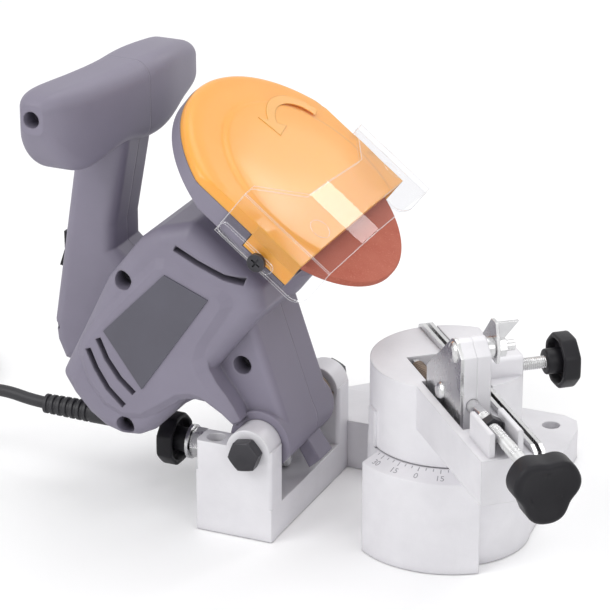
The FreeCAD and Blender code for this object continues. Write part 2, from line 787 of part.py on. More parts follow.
def carriage_outline(back):
    # Side view of the carriage, with a rounded head about the pawl's bolt.
    points = [(dim.carriage_front, carriage_low)]
    for angle in (0, 30, 60, 90, 120):
        reach = crown if angle else crown + dim.carriage_front - dim.pawl_x - crown
        points.append((dim.pawl_x + reach * math.cos(math.radians(angle)),
                       dim.pawl_height + crown * math.sin(math.radians(angle))))
    points.append((back, dim.shoulder_height))
    points.append((back, carriage_low))
    return points


halves_left = -dim.carriage_left
plate_left = halves_left - dim.plate_thickness
bolt_axis = (dim.pawl_x, 0, dim.pawl_height)
screw_axis = (dim.side_screw_x, 0, dim.side_screw_height)
rod_axis = (0, -dim.rod_y, dim.rod_height)


def carriage_part(name, low, high, back, with_socket):
    blank = prism(name + "_blank", "xz", carriage_outline(back), low, high)
    cuts = [
        rod(name + "_bolt_hole", dim.pawl_bolt_radius + dim.run_gap, low, high, "y", bolt_axis),
        rod(name + "_screw_hole", dim.side_screw_radius + dim.seat_gap, low, high, "y", screw_axis),
    ]
    if with_socket:
        cuts.append(rod(name + "_socket", dim.rod_radius + dim.run_gap, dim.rod_back - dim.slide_gap,
                        dim.carriage_front, "x", rod_axis))
    return finish(cut(name + "_form", blank, cuts), name, table_frame)


carriage_part("carriage_plate", plate_left, halves_left, dim.plate_back, False)
carriage_part("carriage_left_half", halves_left, -dim.carriage_split, dim.carriage_back, True)
carriage_part("carriage_right_half", -dim.carriage_split, -dim.carriage_right, dim.carriage_back, True)


def dome_screw(name, radius, axis, tail):
    # Screw along Y with a domed head on the sheet plate.
    head_low = plate_left - dim.dome_height
    head = turned(name + "_head", [
        (0, 0),
        (dim.dome_radius * 0.55, 0),
        (dim.dome_radius * 0.85, dim.dome_height * 0.4),
        (dim.dome_radius, dim.dome_height),
        (0, dim.dome_height),
    ], "y", (axis[0], head_low, axis[2]))
    shank = rod(name + "_shank", radius, plate_left, tail, "y", axis)
    return finish(fuse(name + "_form", [head, shank]), name, table_frame)


pawl_low = dim.pawl_spacer - dim.carriage_right
pawl_high = pawl_low + dim.pawl_thickness
nut_low = pawl_high + dim.run_gap
nut_high = nut_low + dim.pawl_nut_height
dome_screw("pawl_bolt", dim.pawl_bolt_radius, bolt_axis, nut_high + dim.pawl_bolt_tail)
dome_screw("side_screw", dim.side_screw_radius, screw_axis, -dim.carriage_right)
spacer_ring = rod("spacer_ring", dim.dome_radius, -dim.carriage_right, pawl_low - dim.run_gap, "y", bolt_axis)
spacer_eye = rod("spacer_eye", dim.pawl_bolt_radius + dim.run_gap, -dim.carriage_right, pawl_low, "y", bolt_axis)
finish(cut("pawl_spacer_form", spacer_ring, [spacer_eye]), "pawl_spacer", table_frame)
finish(hex_nut("pawl_nut_form", dim.pawl_nut_flats, dim.pawl_bolt_radius + dim.seat_gap, nut_low, nut_high,
               "xz", (dim.pawl_x, dim.pawl_height)), "pawl_nut", table_frame)
pawl_plate = prism("pawl_plate", "xz", [
    (dim.pawl_x - 8, dim.pawl_height - 5.5),
    (dim.pawl_x + 5, dim.pawl_height - 6),
    (dim.pawl_x + 6.5, dim.pawl_height + 1),
    (dim.pawl_x + 3.1, dim.pawl_height + 12.8),
    (dim.pawl_x - 2.4, dim.pawl_height + 12.8),
    (dim.pawl_x - 12.5, dim.pawl_height + 1.8),
], pawl_low, pawl_high)
wing_low = dim.pawl_height + 5.4
pawl_wing = prism("pawl_wing", "yz", [
    (pawl_low, wing_low),
    (pawl_high + 3, wing_low),
    (pawl_high + 9.5, dim.pawl_height + 12.6),
    (pawl_low, dim.pawl_height + 12.8),
], dim.pawl_x + 1.6, dim.pawl_x + 1.6 + dim.pawl_thickness)
pawl_hole = rod("pawl_hole", dim.pawl_bolt_radius + dim.run_gap, pawl_low, pawl_high, "y", bolt_axis)
finish(cut("pawl_form", fuse("pawl_sheet", [pawl_plate, pawl_wing]), [pawl_hole]), "chain_pawl", table_frame)

# Rod, star knob and nut that set the carriage.
finish(rod("stop_rod_form", dim.rod_radius, dim.rod_back, dim.rod_back + dim.rod_length, "x", rod_axis),
       "stop_rod", table_frame)
finish(hex_nut("rod_nut_form", dim.rod_nut_flats, dim.rod_radius + dim.run_gap, dim.rod_nut_x,
               dim.rod_nut_x + dim.rod_nut_height, "yz", (-dim.rod_y, dim.rod_height), 30), "rod_nut", table_frame)
star_points = []
for step in range(36):
    angle = 2 * math.pi * step / 36
    swell = 1 - ((1 + math.cos(3 * (angle - math.pi / 2))) / 2) ** 2
    reach = dim.star_waist + (dim.star_radius - dim.star_waist) * swell
    star_points.append((reach * math.cos(angle) - dim.rod_y, reach * math.sin(angle) + dim.rod_height))
star_grip = prism("star_grip", "yz", star_points, dim.star_start, dim.star_start + dim.star_length)
star_hub = rod("star_hub", dim.rod_radius + 4, dim.star_start - 5, dim.star_start, "x", rod_axis)
star_end = dim.star_start + dim.star_length
star_bowl = turned("star_bowl", [
    (0, -dim.star_dish),
    (dim.star_waist * 0.5, -dim.star_dish * 0.75),
    (dim.star_waist * 0.9, 0),
    (0, 0),
], "x", (star_end, -dim.rod_y, dim.rod_height))
star_bore = rod("star_bore", dim.rod_radius + dim.seat_gap, dim.star_start - 5,
                dim.rod_back + dim.rod_length + dim.seat_gap, "x", rod_axis)
finish(cut("star_knob_form", fuse("star_form", [star_grip, star_hub]), [star_bowl, star_bore]),
       "star_knob", table_frame)

# Return spring of the carriage between its anchor pin and the carriage.
spring_axis = (-float(dim.spring_y), float(dim.spring_height))
spring_start = -float(dim.anchor_x) + float(dim.anchor_radius) + float(dim.spring_wire) + 0.1
spring_end = float(dim.plate_back) - float(dim.slide_gap) - float(dim.spring_wire)


def helix_tube(turns, radius, wire, place):
    # A wound wire: quarter turns of biarcs, with the place of each point given by its angle.
    quarter = math.pi / 2
    count = int(round(turns * 4)) + 1
    points = [place(quarter * step, radius) for step in range(count)]
    nudge = 1e-4
    tangents = [(place(quarter * step + nudge, radius) - place(quarter * step - nudge, radius)).normalize()
                for step in range(count)]
    path = Part.Wire(Part.__sortEdges__(biarc_edges(points, tangents)))
    wound = tube(path, points[0], tangents[0], wire)
    fine = [place(quarter * step / 4, radius) for step in range(4 * count - 3)]
    return wound, least_self_gap(fine, wire, math.pi * radius), path.Length


def spring_place(angle, radius):
    share = angle / (2 * math.pi * float(dim.spring_turns))
    return Vector(spring_start + (spring_end - spring_start) * share,
                  spring_axis[0] + radius * math.cos(angle), spring_axis[1] + radius * math.sin(angle))


return_spring, spring_gap, spring_wire_length = helix_tube(
    float(dim.spring_turns), float(dim.spring_radius), float(dim.spring_wire), spring_place)
print("return spring: least gap %.2f mm" % spring_gap)
finish(solid("return_spring_form", return_spring), "return_spring", table_frame)
finish(rod("spring_anchor_form", dim.anchor_radius, dim.channel_floor, dim.table_top - 1, "z",
           (-dim.anchor_x, -dim.spring_y, 0)), "spring_anchor", table_frame)

# Housing of the tilting head, drawn with its pivot at the origin, the motor along X.
body_points = [
    (3 - dim.body_back, dim.body_top - 12),
    (-dim.body_back - 1, dim.body_top - 23),
    (-dim.body_back - 3, dim.body_top - 35),
    (-dim.body_back - 2.5, dim.body_bottom + 21),
    (1 - dim.body_back, dim.body_bottom + 12.5),
    (7 - dim.body_back, dim.body_bottom + 6),
    (15 - dim.body_back, dim.body_bottom + 2.3),
    (4, dim.body_bottom),
    (dim.body_front - 8, dim.body_bottom),
    (dim.body_front, dim.body_bottom + 8),
    (dim.body_front, dim.body_top - 14),
    (dim.body_front - 14, dim.body_top - 4),
    (dim.body_front - 26, dim.body_top),
    (10, dim.body_top),
]
body_blank = prism("body_blank", "xz", body_points, -dim.body_half_width, dim.body_half_width)
body_corners = rounded("body_corners", body_blank, 4, along((0, 1, 0)))


def on_side(near, far):
    # An edge test: lies in the near or the far side face.
    def test(edge):
        box = edge.BoundBox
        return box.YLength < 1e-6 and min(abs(box.YMin + float(near)), abs(box.YMin - float(far))) < 1e-6
    return test


body_soft = rounded("body_soft", body_corners, dim.body_round, on_side(dim.body_half_width, dim.body_half_width))
# Raised side panel: an outer edge on the body and the leg, and an inner edge where its slope ends.
panel_edges = (
    ((40.5, 93.0), (35.5, 88.5)),
    ((43.6, 89.5), (38.6, 85.6)),
    ((48.0, 73.0), (42.6, 70.5)),
    ((53.0, 58.5), (47.0, 58.6)),
    ((54.3, 53.5), (46.4, 55.2)),
    ((51.5, 49.6), (43.4, 53.8)),
    ((40.0, 47.3), (36.4, 53.0)),
    ((25.3, 46.3), (21.2, 51.2)),
    ((19.0, 44.2), (12.5, 47.9)),
    ((14.3, 39.5), (8.6, 41.5)),
    ((11.4, 32.0), (7.2, 34.0)),
    ((9.9, 24.4), (6.4, 25.5)),
    ((7.7, 17.4), (5.0, 18.5)),
    ((5.6, 12.6), (3.8, 14.2)),
    ((2.4, 12.4), (3.0, 14.2)),
    ((1.0, 22.0), (3.0, 23.4)),
    ((-0.2, 31.0), (1.6, 33.0)),
    ((-3.6, 36.0), (-1.2, 38.8)),
    ((-9.0, 40.2), (-7.2, 43.4)),
    ((-20.0, 43.2), (-19.0, 46.8)),
    ((-31.0, 46.4), (-29.0, 50.0)),
    ((-39.0, 54.0), (-35.6, 56.2)),
    ((-41.6, 66.0), (-38.0, 66.6)),
    ((-38.6, 79.0), (-35.4, 77.8)),
    ((-31.0, 91.0), (-28.6, 87.8)),
    ((-22.0, 95.0), (-21.4, 91.2)),
    ((0.0, 95.6), (0.0, 91.4)),
)


def panel_wire(which, out):
    # One of the panel's two edges, closed, at a distance from the middle plane.
    corners = [Vector(pair[which][0], -float(out), pair[which][1]) for pair in panel_edges]
    return Part.makePolygon(corners + corners[:1])


panel_low = panel_wire(0, dim.leg_near - 1)
panel_rim = panel_wire(0, dim.body_half_width - dim.panel_rim)
panel_top = panel_wire(1, dim.body_half_width + dim.panel_step)
panel_shape = Part.makeLoft([panel_low, panel_rim, panel_top], True, True)
panel = solid("panel", panel_shape)
leg_points = [
    (0, dim.body_bottom + 6),
    (-1, dim.foot_radius),
    (-dim.foot_radius + 1, 4),
    (-dim.foot_radius + 1, -4),
    (-4, 1 - dim.foot_radius),
    (5, 1 - dim.foot_radius),
    (dim.foot_radius - 1, -5),
    (dim.body_front - 18, dim.body_bottom + 6),
]
leg_blank = prism("leg_blank", "xz", leg_points, -dim.leg_near, dim.leg_far)
leg_soft = rounded("leg_soft", leg_blank, dim.leg_round, on_side(dim.leg_near, dim.leg_far))
web = prism("web", "xz", [
    (-26, dim.body_bottom + 5),
    (-24, dim.body_bottom + 1.6),
    (-18, dim.body_bottom + 0.8),
    (-12, dim.body_bottom - 1.2),
    (-7, dim.body_bottom - 4.6),
    (-3.8, dim.body_bottom - 9),
    (-2.2, dim.body_bottom - 14.5),
    (-1, dim.body_bottom - 21),
    (6, dim.body_bottom - 21),
    (6, dim.body_bottom + 5),
], 1 - dim.leg_near, dim.leg_far - 1)
foot_ring = rod("foot_ring", dim.foot_radius, dim.slide_gap - cheek_inner, dim.leg_far, "y")


def heel_prism(name):
    # The heel under the foot that meets the depth stop.
    corners = [(-9.2, -24.6), (-2.4, -8.2), (4, -8.2), (-1.5, -26)]
    return prism(name, "xz", corners, -dim.heel_half_width, dim.heel_half_width)


finish(heel_prism("heel_form"), "tilt_heel", head_frame)
neck_back_low = (5.7 - dim.body_back, dim.body_top + 10.3)
neck_back_high = (25, dim.body_top + 48.5)
neck_points = [
    (8, dim.body_top - 6),
    (9, dim.body_top + 9),
    (18, dim.body_top + 16),
    (66, dim.body_top + 41),
    (50, dim.body_top + 61),
    neck_back_high,
    neck_back_low,
    (-dim.body_back - 2, dim.body_top + 3),
    (-dim.body_back - 7, dim.body_top - 6),
    (3 - dim.body_back, dim.body_top - 26),
    (0, dim.body_top - 20),
]
neck_blank = prism("neck_blank", "xz", neck_points, -dim.neck_half_width, dim.neck_half_width)
neck_soft = rounded("neck_soft", neck_blank, dim.neck_round, on_side(dim.neck_half_width, dim.neck_half_width))


def round_frame(centre, depth, tall, corner):
    # A rounded rectangle across the handle, as lines and quarter arcs, at the place of its centre.
    half_depth = depth / 2
    half_tall = tall / 2
    edges = []
    corners = ((1, 1), (-1, 1), (-1, -1), (1, -1))
    diagonal = corner * (1 - math.sqrt(0.5))
    for number, (sx, sz) in enumerate(corners):
        tip = Vector(sx * half_depth, 0, sz * half_tall)
        along_z = tip - Vector(0, 0, sz * corner)
        along_x = tip - Vector(sx * corner, 0, 0)
        start, end = (along_z, along_x) if sx == sz else (along_x, along_z)
        crown_point = tip - Vector(sx * diagonal, 0, sz * diagonal)
        edges.append(Part.Arc(centre + start, centre + crown_point, centre + end).toShape())
        nx, nz = corners[(number + 1) % 4]
        next_tip = Vector(nx * half_depth, 0, nz * half_tall)
        next_start = next_tip - (Vector(0, 0, nz * corner) if nx == nz else Vector(nx * corner, 0, 0))
        edges.append(Part.LineSegment(centre + end, centre + next_start).toShape())
    return Part.Wire(edges)


# The handle lies across the neck and is level at rest, so it is turned back in the head's frame.
# Each section: share of the half length, sweep back, rise, share of the depth, share of the height.
handle_half = float(dim.handle_half_length)
handle_sections = (
    (-1.0, 0.98, 7.0, 0.38, 0.36),
    (-0.95, 0.93, 5.5, 0.58, 0.56),
    (-0.80, 0.79, 0.0, 0.86, 0.95),
    (-0.39, 0.29, 0.0, 0.97, 0.98),
    (0.0, 0.0, 0.0, 1.0, 1.0),
    (0.47, -0.11, 1.5, 0.96, 0.87),
    (0.81, 0.04, 1.5, 0.90, 0.64),
    (0.94, 0.14, 1.0, 0.76, 0.46),
    (1.0, 0.21, 1.0, 0.48, 0.26),
)
handle_wires = []
for share, sweep, rise, depth_share, tall_share in handle_sections:
    deep = float(dim.handle_depth) * depth_share
    high = float(dim.handle_tall) * tall_share
    middle = Vector(-float(dim.handle_x) - sweep * float(dim.handle_sweep), share * handle_half,
                    float(dim.handle_z) + rise)
    handle_wires.append(round_frame(middle, deep, high, min(deep, high) * 0.3))
handle_shape = Part.makeLoft(handle_wires, True, False)
handle_form = solid("handle_form", handle_shape)
handle_form.Placement = Placement(Vector(), Rotation(Vector(0, 1, 0), float(dim.tilt_angle)))
motor_axis = (0, 0, dim.motor_height)
nose = turned("nose", [
    (0, dim.body_front - 10),
    (dim.nose_radius, dim.body_front - 10),
    (dim.nose_radius, dim.body_front + 4),
    (dim.nose_radius - 8, dim.nose_front),
    (0, dim.nose_front),
], "x", motor_axis)
housing_parts = [body_soft, panel, leg_soft, web, foot_ring, neck_soft, handle_form, nose]
housing_form = fuse_in_turn("housing_form", housing_parts)

vent_lines = (
    ((-14.4, 88.3), (-19.4, 78.8), (-22.4, 68.3), (-23.0, 58.5)),
    ((-22.5, 88.9), (-27.5, 79.8), (-31.2, 69.4), (-32.1, 58.3)),
    ((50.0, 88.2), (52.6, 75.8), (56.8, 62.1), (61.5, 53.5)),
)


def vent(name, line):
    # A bent slot cut into the near side along a line of points.
    half = dim.vent_width / 2
    left_bank = []
    right_bank = []
    for number, (at_u, at_w) in enumerate(line):
        before_u, before_w = line[max(number - 1, 0)]
        after_u, after_w = line[min(number + 1, len(line) - 1)]
        span = math.hypot(after_u - before_u, after_w - before_w)
        across_u = (after_w - before_w) / span
        across_w = (before_u - after_u) / span
        left_bank.append((at_u + half * across_u, at_w + half * across_w))
        right_bank.append((at_u - half * across_u, at_w - half * across_w))
    outside = -dim.body_half_width - dim.panel_step - 1
    return prism(name, "xz", left_bank + right_bank[::-1], outside, -dim.body_half_width + dim.vent_depth)


screw_places = (
    ("top", 17.2, 97.0, dim.body_half_width),
    ("leg", 21.9, 30.0, dim.leg_near),
    ("rear", -41.5, 52.0, dim.body_half_width),
)
housing_cuts = [
    rod("motor_cavity", dim.cavity_radius, -dim.cavity_back, dim.cavity_front, "x", motor_axis),
    rod("shaft_tunnel", dim.shaft_radius + 2, -dim.shaft_back - 1, dim.nose_front + 1, "x", motor_axis),
    rod("rear_seat", dim.bearing_radius + dim.seat_gap, -dim.rear_bearing_at - dim.seat_gap,
        -dim.cavity_back, "x", motor_axis),
    rod("front_seat", dim.bearing_radius + dim.seat_gap, dim.cavity_front,
        dim.front_bearing_at + dim.bearing_width + dim.seat_gap, "x", motor_axis),
    rod("pivot_bush", dim.pivot_radius + dim.run_gap, -cheek_inner, cheek_inner, "y"),
    heel_prism("heel_seat"),
]
for line_number, line in enumerate(vent_lines):
    housing_cuts.append(vent("vent_%d" % line_number, line))
for place, place_u, place_w, side in screw_places:
    housing_cuts.append(rod(place + "_recess", dim.screw_recess_radius, -side - dim.panel_step - 3,
                            dim.screw_recess - side, "y", (place_u, 0, place_w)))
hole_turn = Rotation(Vector(0, 1, 0), float(dim.tilt_angle))
end_hole_at = hole_turn.multVec(
    Vector(-float(dim.handle_x) - float(dim.handle_sweep), 0, float(dim.handle_z) + handle_sections[0][2]))
housing_cuts.append(rod("handle_hole", dim.handle_hole_radius, -dim.handle_half_length - 1,
                        10 - dim.handle_half_length, "y", end_hole_at))

# Small blind hole in the near side of the neck.
housing_cuts.append(rod("neck_hole", dim.neck_hole_radius, -dim.neck_half_width - 1,
                        dim.neck_hole_depth - dim.neck_half_width, "y", (-dim.neck_hole_u, 0, dim.neck_hole_w)))

# Switch pocket on the back of the neck.
switch_low = Vector(float(neck_back_low[0]), 0, float(neck_back_low[1]))
switch_high = Vector(float(neck_back_high[0]), 0, float(neck_back_high[1]))
neck_run = Vector(switch_high - switch_low).normalize()
neck_out = Vector(-neck_run.z, 0, neck_run.x)
switch_middle = switch_low + (switch_high - switch_low) * float(dim.switch_at)
switch_turn = Rotation(neck_run, Vector(0, 1, 0), neck_out, "ZXY")


def switch_block(name, length, width, low, high):
    # A block on the neck's back: length along the neck, width along Y, heights along its normal.
    box = doc.addObject("Part::Box", name)
    bind(box, "Length", length)
    bind(box, "Width", width)
    bind(box, "Height", lift(high) - low)
    corner = Vector(-float(length) / 2, -float(width) / 2, float(low))
    box.Placement = Placement(switch_middle, switch_turn).multiply(Placement(corner, Rotation()))
    return box


housing_cuts.append(switch_block("switch_pocket", dim.switch_length + 2 * dim.seat_gap,
                                 dim.switch_width + 2 * dim.seat_gap, -dim.switch_depth - dim.seat_gap, 6))
relief_turn = Rotation(Vector(0, 1, 0), float(dim.tilt_angle))
relief_start = relief_turn.multVec(
    Vector(float(dim.pivot_reach) - float(dim.relief_start_x), -float(dim.relief_y),
           float(dim.relief_start_z) - float(dim.pivot_height)))
relief_way = relief_turn.multVec(Vector(-1, 0, 0))
relief_bore = Part.makeCylinder(float(dim.relief_radius + dim.seat_gap), 30.0, relief_start, relief_way)
housing_cuts.append(solid("relief_bore", relief_bore))
housing = cut("housing", housing_form, housing_cuts)
reach_all = 300
near_space = block("near_space", (-reach_all, -reach_all, -reach_all), (reach_all, 0, reach_all))
far_space = block("far_space", (-reach_all, 0, -reach_all), (reach_all, reach_all, reach_all))
finish(common("near_half", housing, near_space), "housing_near", head_frame)
finish(common("far_half", housing, far_space), "housing_far", head_frame)

# Screws in the recesses of the near half, and the bare plate on the raised panel.
screw_shapes = []
for place, place_u, place_w, side in screw_places:
    seat = float(dim.screw_recess) - float(side)
    head_shape = Part.makeCylinder(float(dim.screw_head_radius), 2.4, Vector(place_u, seat - 2.4, place_w),
                                   Vector(0, 1, 0))
    cross = Part.makeBox(4, 1.4, 0.9, Vector(place_u - 2, seat - 2.5, place_w - 0.45))
    cross = cross.fuse(Part.makeBox(0.9, 1.4, 4, Vector(place_u - 0.45, seat - 2.5, place_w - 2)))
    screw_shapes.append(head_shape.cut(cross))
finish(solid("housing_screws_form", Part.makeCompound(screw_shapes)), "housing_screws", head_frame)
label_face = -dim.body_half_width - dim.panel_step
finish(prism("label_form", "xz", [(-9, 88.5), (37, 83.5), (43.5, 60.5), (-18, 57)],
             label_face - dim.label_thickness, label_face), "rating_plate", head_frame)

# Motor: stator, rotor, commutator, fan, shaft and bearings.
rotor_half = dim.rotor_length / 2
stator_ring = rod("stator_ring", dim.cavity_radius - dim.seat_gap, -rotor_half, rotor_half, "x", motor_axis)
stator_hole = rod("stator_hole", dim.stator_bore + dim.stator_gap, -rotor_half, rotor_half, "x", motor_axis)
finish(cut("stator_form", stator_ring, [stator_hole]), "motor_stator", head_frame)
bearing_shapes = []
for at in (-dim.rear_bearing_at, dim.front_bearing_at):
    centre = Vector(float(at), 0, float(dim.motor_height))
    ring = Part.makeCylinder(float(dim.bearing_radius), float(dim.bearing_width), centre, Vector(1, 0, 0))
    eye = Part.makeCylinder(float(dim.shaft_radius + dim.run_gap), float(dim.bearing_width), centre,
                            Vector(1, 0, 0))
    bearing_shapes.append(ring.cut(eye))
finish(solid("bearings_form", Part.makeCompound(bearing_shapes)), "bearings", head_frame)
finish(rod("shaft_form", dim.shaft_radius, -dim.shaft_back, dim.shaft_front, "x", motor_axis),
       "motor_shaft", head_frame)


def sleeve(name, radius, start, end):
    # A ring pushed onto the motor shaft.
    ring = rod(name + "_ring", radius, start, end, "x", motor_axis)
    eye = rod(name + "_eye", dim.shaft_radius + dim.seat_gap, start, end, "x", motor_axis)
    return finish(cut(name + "_form", ring, [eye]), name, head_frame)


sleeve("rotor", dim.rotor_radius, -rotor_half, rotor_half)
sleeve("commutator", dim.commutator_radius, -rotor_half - dim.commutator_length - 1, -rotor_half - 1)
sleeve("cooling_fan", dim.fan_radius, rotor_half + 6, rotor_half + 6 + dim.fan_length)

# Grinding disc between its flanges.
disc_low = dim.disc_at - dim.disc_thickness / 2
disc_high = dim.disc_at + dim.disc_thickness / 2
rim_bevel = 0.6
disc_profile = [
    (dim.disc_bore, -dim.disc_thickness / 2),
    (dim.disc_radius - rim_bevel, -dim.disc_thickness / 2),
    (dim.disc_radius, rim_bevel - dim.disc_thickness / 2),
    (dim.disc_radius, dim.disc_thickness / 2 - rim_bevel),
    (dim.disc_radius - rim_bevel, dim.disc_thickness / 2),
    (dim.disc_bore, dim.disc_thickness / 2),
]
finish(turned("disc_form", disc_profile, "x", (dim.disc_at, 0, dim.motor_height)), "grinding_disc", head_frame)
spigot = disc_low + dim.disc_thickness * 0.8
flange_profile = [
    (dim.shaft_radius + dim.seat_gap, disc_low - dim.flange_thickness),
    (dim.flange_radius, disc_low - dim.flange_thickness),
    (dim.flange_radius, disc_low),
    (dim.disc_bore - dim.seat_gap, disc_low),
    (dim.disc_bore - dim.seat_gap, spigot),
    (dim.shaft_radius + dim.seat_gap, spigot),
]
finish(turned("inner_flange_form", flange_profile, "x", motor_axis), "inner_flange", head_frame)
sleeve("outer_flange", dim.flange_radius, disc_high, dim.shaft_front)

# Guard: grey dish on the housing's nose, orange cover in front of the disc.
guard_inner = dim.guard_radius - dim.guard_wall
dish_hole = dim.nose_radius - 14
dish_blank = turned("dish_blank", [
    (dish_hole, dim.guard_back),
    (dim.guard_radius - 4, dim.guard_back),
    (dim.guard_radius, dim.guard_back + 3),
    (dim.guard_radius, dim.guard_split),
    (dish_hole, dim.guard_split),
], "x", motor_axis)
dish_round = turned("dish_round", [
    (0, dim.guard_back + dim.guard_wall),
    (guard_inner, dim.guard_back + dim.guard_wall),
    (guard_inner, dim.guard_split + 1),
    (0, dim.guard_split + 1),
], "x", motor_axis)
below = -dim.guard_radius - 5
dish_cut = block("dish_cut", (dim.guard_back - 1, below, dim.motor_height + below),
                 (dim.guard_front + 1, -below, dim.motor_height - dim.guard_edge))


def guard_flats(name):
    # Rooms beside the guard where the sides of the shield slide.
    rooms = []
    for side, low, high in (("near", below, -dim.guard_flat), ("far", dim.guard_flat, -below)):
        rooms.append(block("%s_%s_flat" % (name, side), (dim.guard_back - 1, low, dim.motor_height + below),
                           (dim.guard_front + 1, high, dim.guard_flat_top)))
    return rooms


shield_screw_axis = (dim.shield_screw_u, 0, dim.shield_screw_w)
tab_inner = dim.guard_flat - dim.guard_wall


def between_sides(name, room):
    # The part of a guard's room that lies between its flat side walls.
    slab = block(name + "_slab", (dim.guard_back - 1, -tab_inner, dim.motor_height + below),
                 (dim.guard_front + 1, tab_inner, dim.motor_height - below))
    return common(name, room, slab)


tab_top = dim.motor_height - dim.cover_edge + dim.cover_tab_drop
tab_rooms = [
    block("tab_room_" + side, (dim.guard_back + dim.guard_wall, low, dim.motor_height + below),
          (dim.guard_split + 1, high, tab_top + dim.slide_gap))
    for side, low, high in (("near", below, 1 - tab_inner), ("far", tab_inner - 1, -below))]
screw_rooms = [
    rod("dish_screw_room_" + side, dim.shield_screw_radius + dim.slide_gap, low, high, "y", shield_screw_axis)
    for side, low, high in (("near", below, 1 - tab_inner), ("far", tab_inner - 1, -below))]
dish_room = between_sides("dish_room", dish_round)
dish_form = cut("dish_form", dish_blank, [dish_room, dish_cut] + guard_flats("dish") + tab_rooms + screw_rooms)
finish(dish_form, "wheel_guard", head_frame)
cover_blank = turned("cover_blank", [
    (0, dim.guard_split + dim.seat_gap),
    (dim.guard_radius - 0.4, dim.guard_split + dim.seat_gap),
    (dim.guard_radius - 0.4, dim.guard_front - 2.5),
    (dim.guard_radius - 2.4, dim.guard_front),
    (0, dim.guard_front),
], "x", motor_axis)
cover_hollow = turned("cover_hollow", [
    (0, dim.guard_split - 1),
    (guard_inner - 3, dim.guard_split - 1),
    (guard_inner - 3, dim.guard_front - dim.guard_wall),
    (0, dim.guard_front - dim.guard_wall),
], "x", motor_axis)
cover_cut = block("cover_cut", (dim.guard_back - 1, below, dim.motor_height + below),
                  (dim.guard_front + 1, -below, dim.motor_height - dim.cover_edge))
cover_room = between_sides("cover_room", cover_hollow)
cover_parts = [cut("cover_round", cover_blank, [cover_room, cover_cut] + guard_flats("cover"))]
for side, low, high in (("near", -dim.guard_flat, -tab_inner), ("far", tab_inner, dim.guard_flat)):
    cover_parts.append(block("cover_tab_" + side,
                             (dim.guard_back + dim.guard_wall + dim.slide_gap, low,
                              dim.motor_height - dim.cover_edge),
                             (dim.guard_front - 0.5, high, tab_top)))
cover_form = fuse("cover_form", cover_parts)
cover_holes = [
    rod("cover_screw_hole_" + side, dim.shield_screw_radius + dim.seat_gap, low, high, "y", shield_screw_axis)
    for side, low, high in (("near", -dim.guard_flat, -tab_inner), ("far", tab_inner, dim.guard_flat))]
finish(cut("guard_cover_form", cover_form, cover_holes), "guard_cover", head_frame)

# Clear shield: folded sheet with slotted sides and a lowered middle.
shield_outer = dim.shield_half_width
inner_side = shield_outer - dim.shield_wall
shield_front = dim.shield_back + dim.shield_depth
shield_brow = shield_front + dim.shield_step
folds = (
    (dim.shield_back, -shield_outer, 0, dim.shield_wall),
    (shield_front, -shield_outer, -dim.shield_wall, dim.shield_wall),
    (shield_brow, -dim.shield_strip_near, -dim.shield_wall, 0),
    (shield_brow + 0.8, -dim.shield_strip_far, -dim.shield_wall, 0),
    (shield_brow - 1, lift(dim.shield_far_fold), -dim.shield_wall, 0),
    (shield_front - dim.shield_skew, lift(shield_outer), -dim.shield_wall, -dim.shield_wall),
    (dim.shield_back, lift(shield_outer), 0, -dim.shield_wall),
)
fold_points = [(at_x, at_y) for at_x, at_y, in_x, in_y in folds]
for at_x, at_y, in_x, in_y in reversed(folds):
    fold_points.append((at_x + in_x, at_y + in_y))
shield_blank = prism("shield_blank", "xy", fold_points, dim.shield_bottom, dim.shield_bottom + dim.shield_height)
shield_top = dim.shield_bottom + dim.shield_height
dip = prism("shield_dip_cut", "yz", [
    (-dim.shield_strip_near, shield_top - dim.shield_dip),
    (dim.shield_far_fold, shield_top - dim.shield_dip - dim.shield_drop / 3),
    (inner_side - 5, shield_top - dim.shield_drop),
    (shield_outer + 1, shield_top - dim.shield_drop),
    (shield_outer + 1, shield_top + 1),
    (5 - inner_side, shield_top + 1),
], dim.shield_back - 1, shield_front + dim.shield_step + 2)
slot_half = dim.shield_slot_width / 2
slot_low = dim.shield_screw_w - 5
slot_high = slot_low + dim.shield_slot_length
slots = []
for side, low, high in (("near", -shield_outer - 1, 1 - inner_side), ("far", inner_side - 1, shield_outer + 1)):
    slots.append(block("slot_" + side, (dim.shield_screw_u - slot_half, low, slot_low),
                       (dim.shield_screw_u + slot_half, high, slot_high)))
    for end, height in (("low", slot_low), ("high", slot_high)):
        slots.append(rod("slot_%s_%s" % (side, end), slot_half, low, high, "y",
                         (dim.shield_screw_u, 0, height)))
shield_cut = cut("shield_cut", shield_blank, [dip] + slots)


def at_shield_heel(edge):
    # An edge test: crosses the sheet at the lower back corner of a side.
    box = edge.BoundBox
    crosses = box.XLength < 1e-6 and box.ZLength < 1e-6
    return crosses and abs(box.XMin - float(dim.shield_back)) < 1e-6 and abs(box.ZMin - float(dim.shield_bottom)) < 1e-6


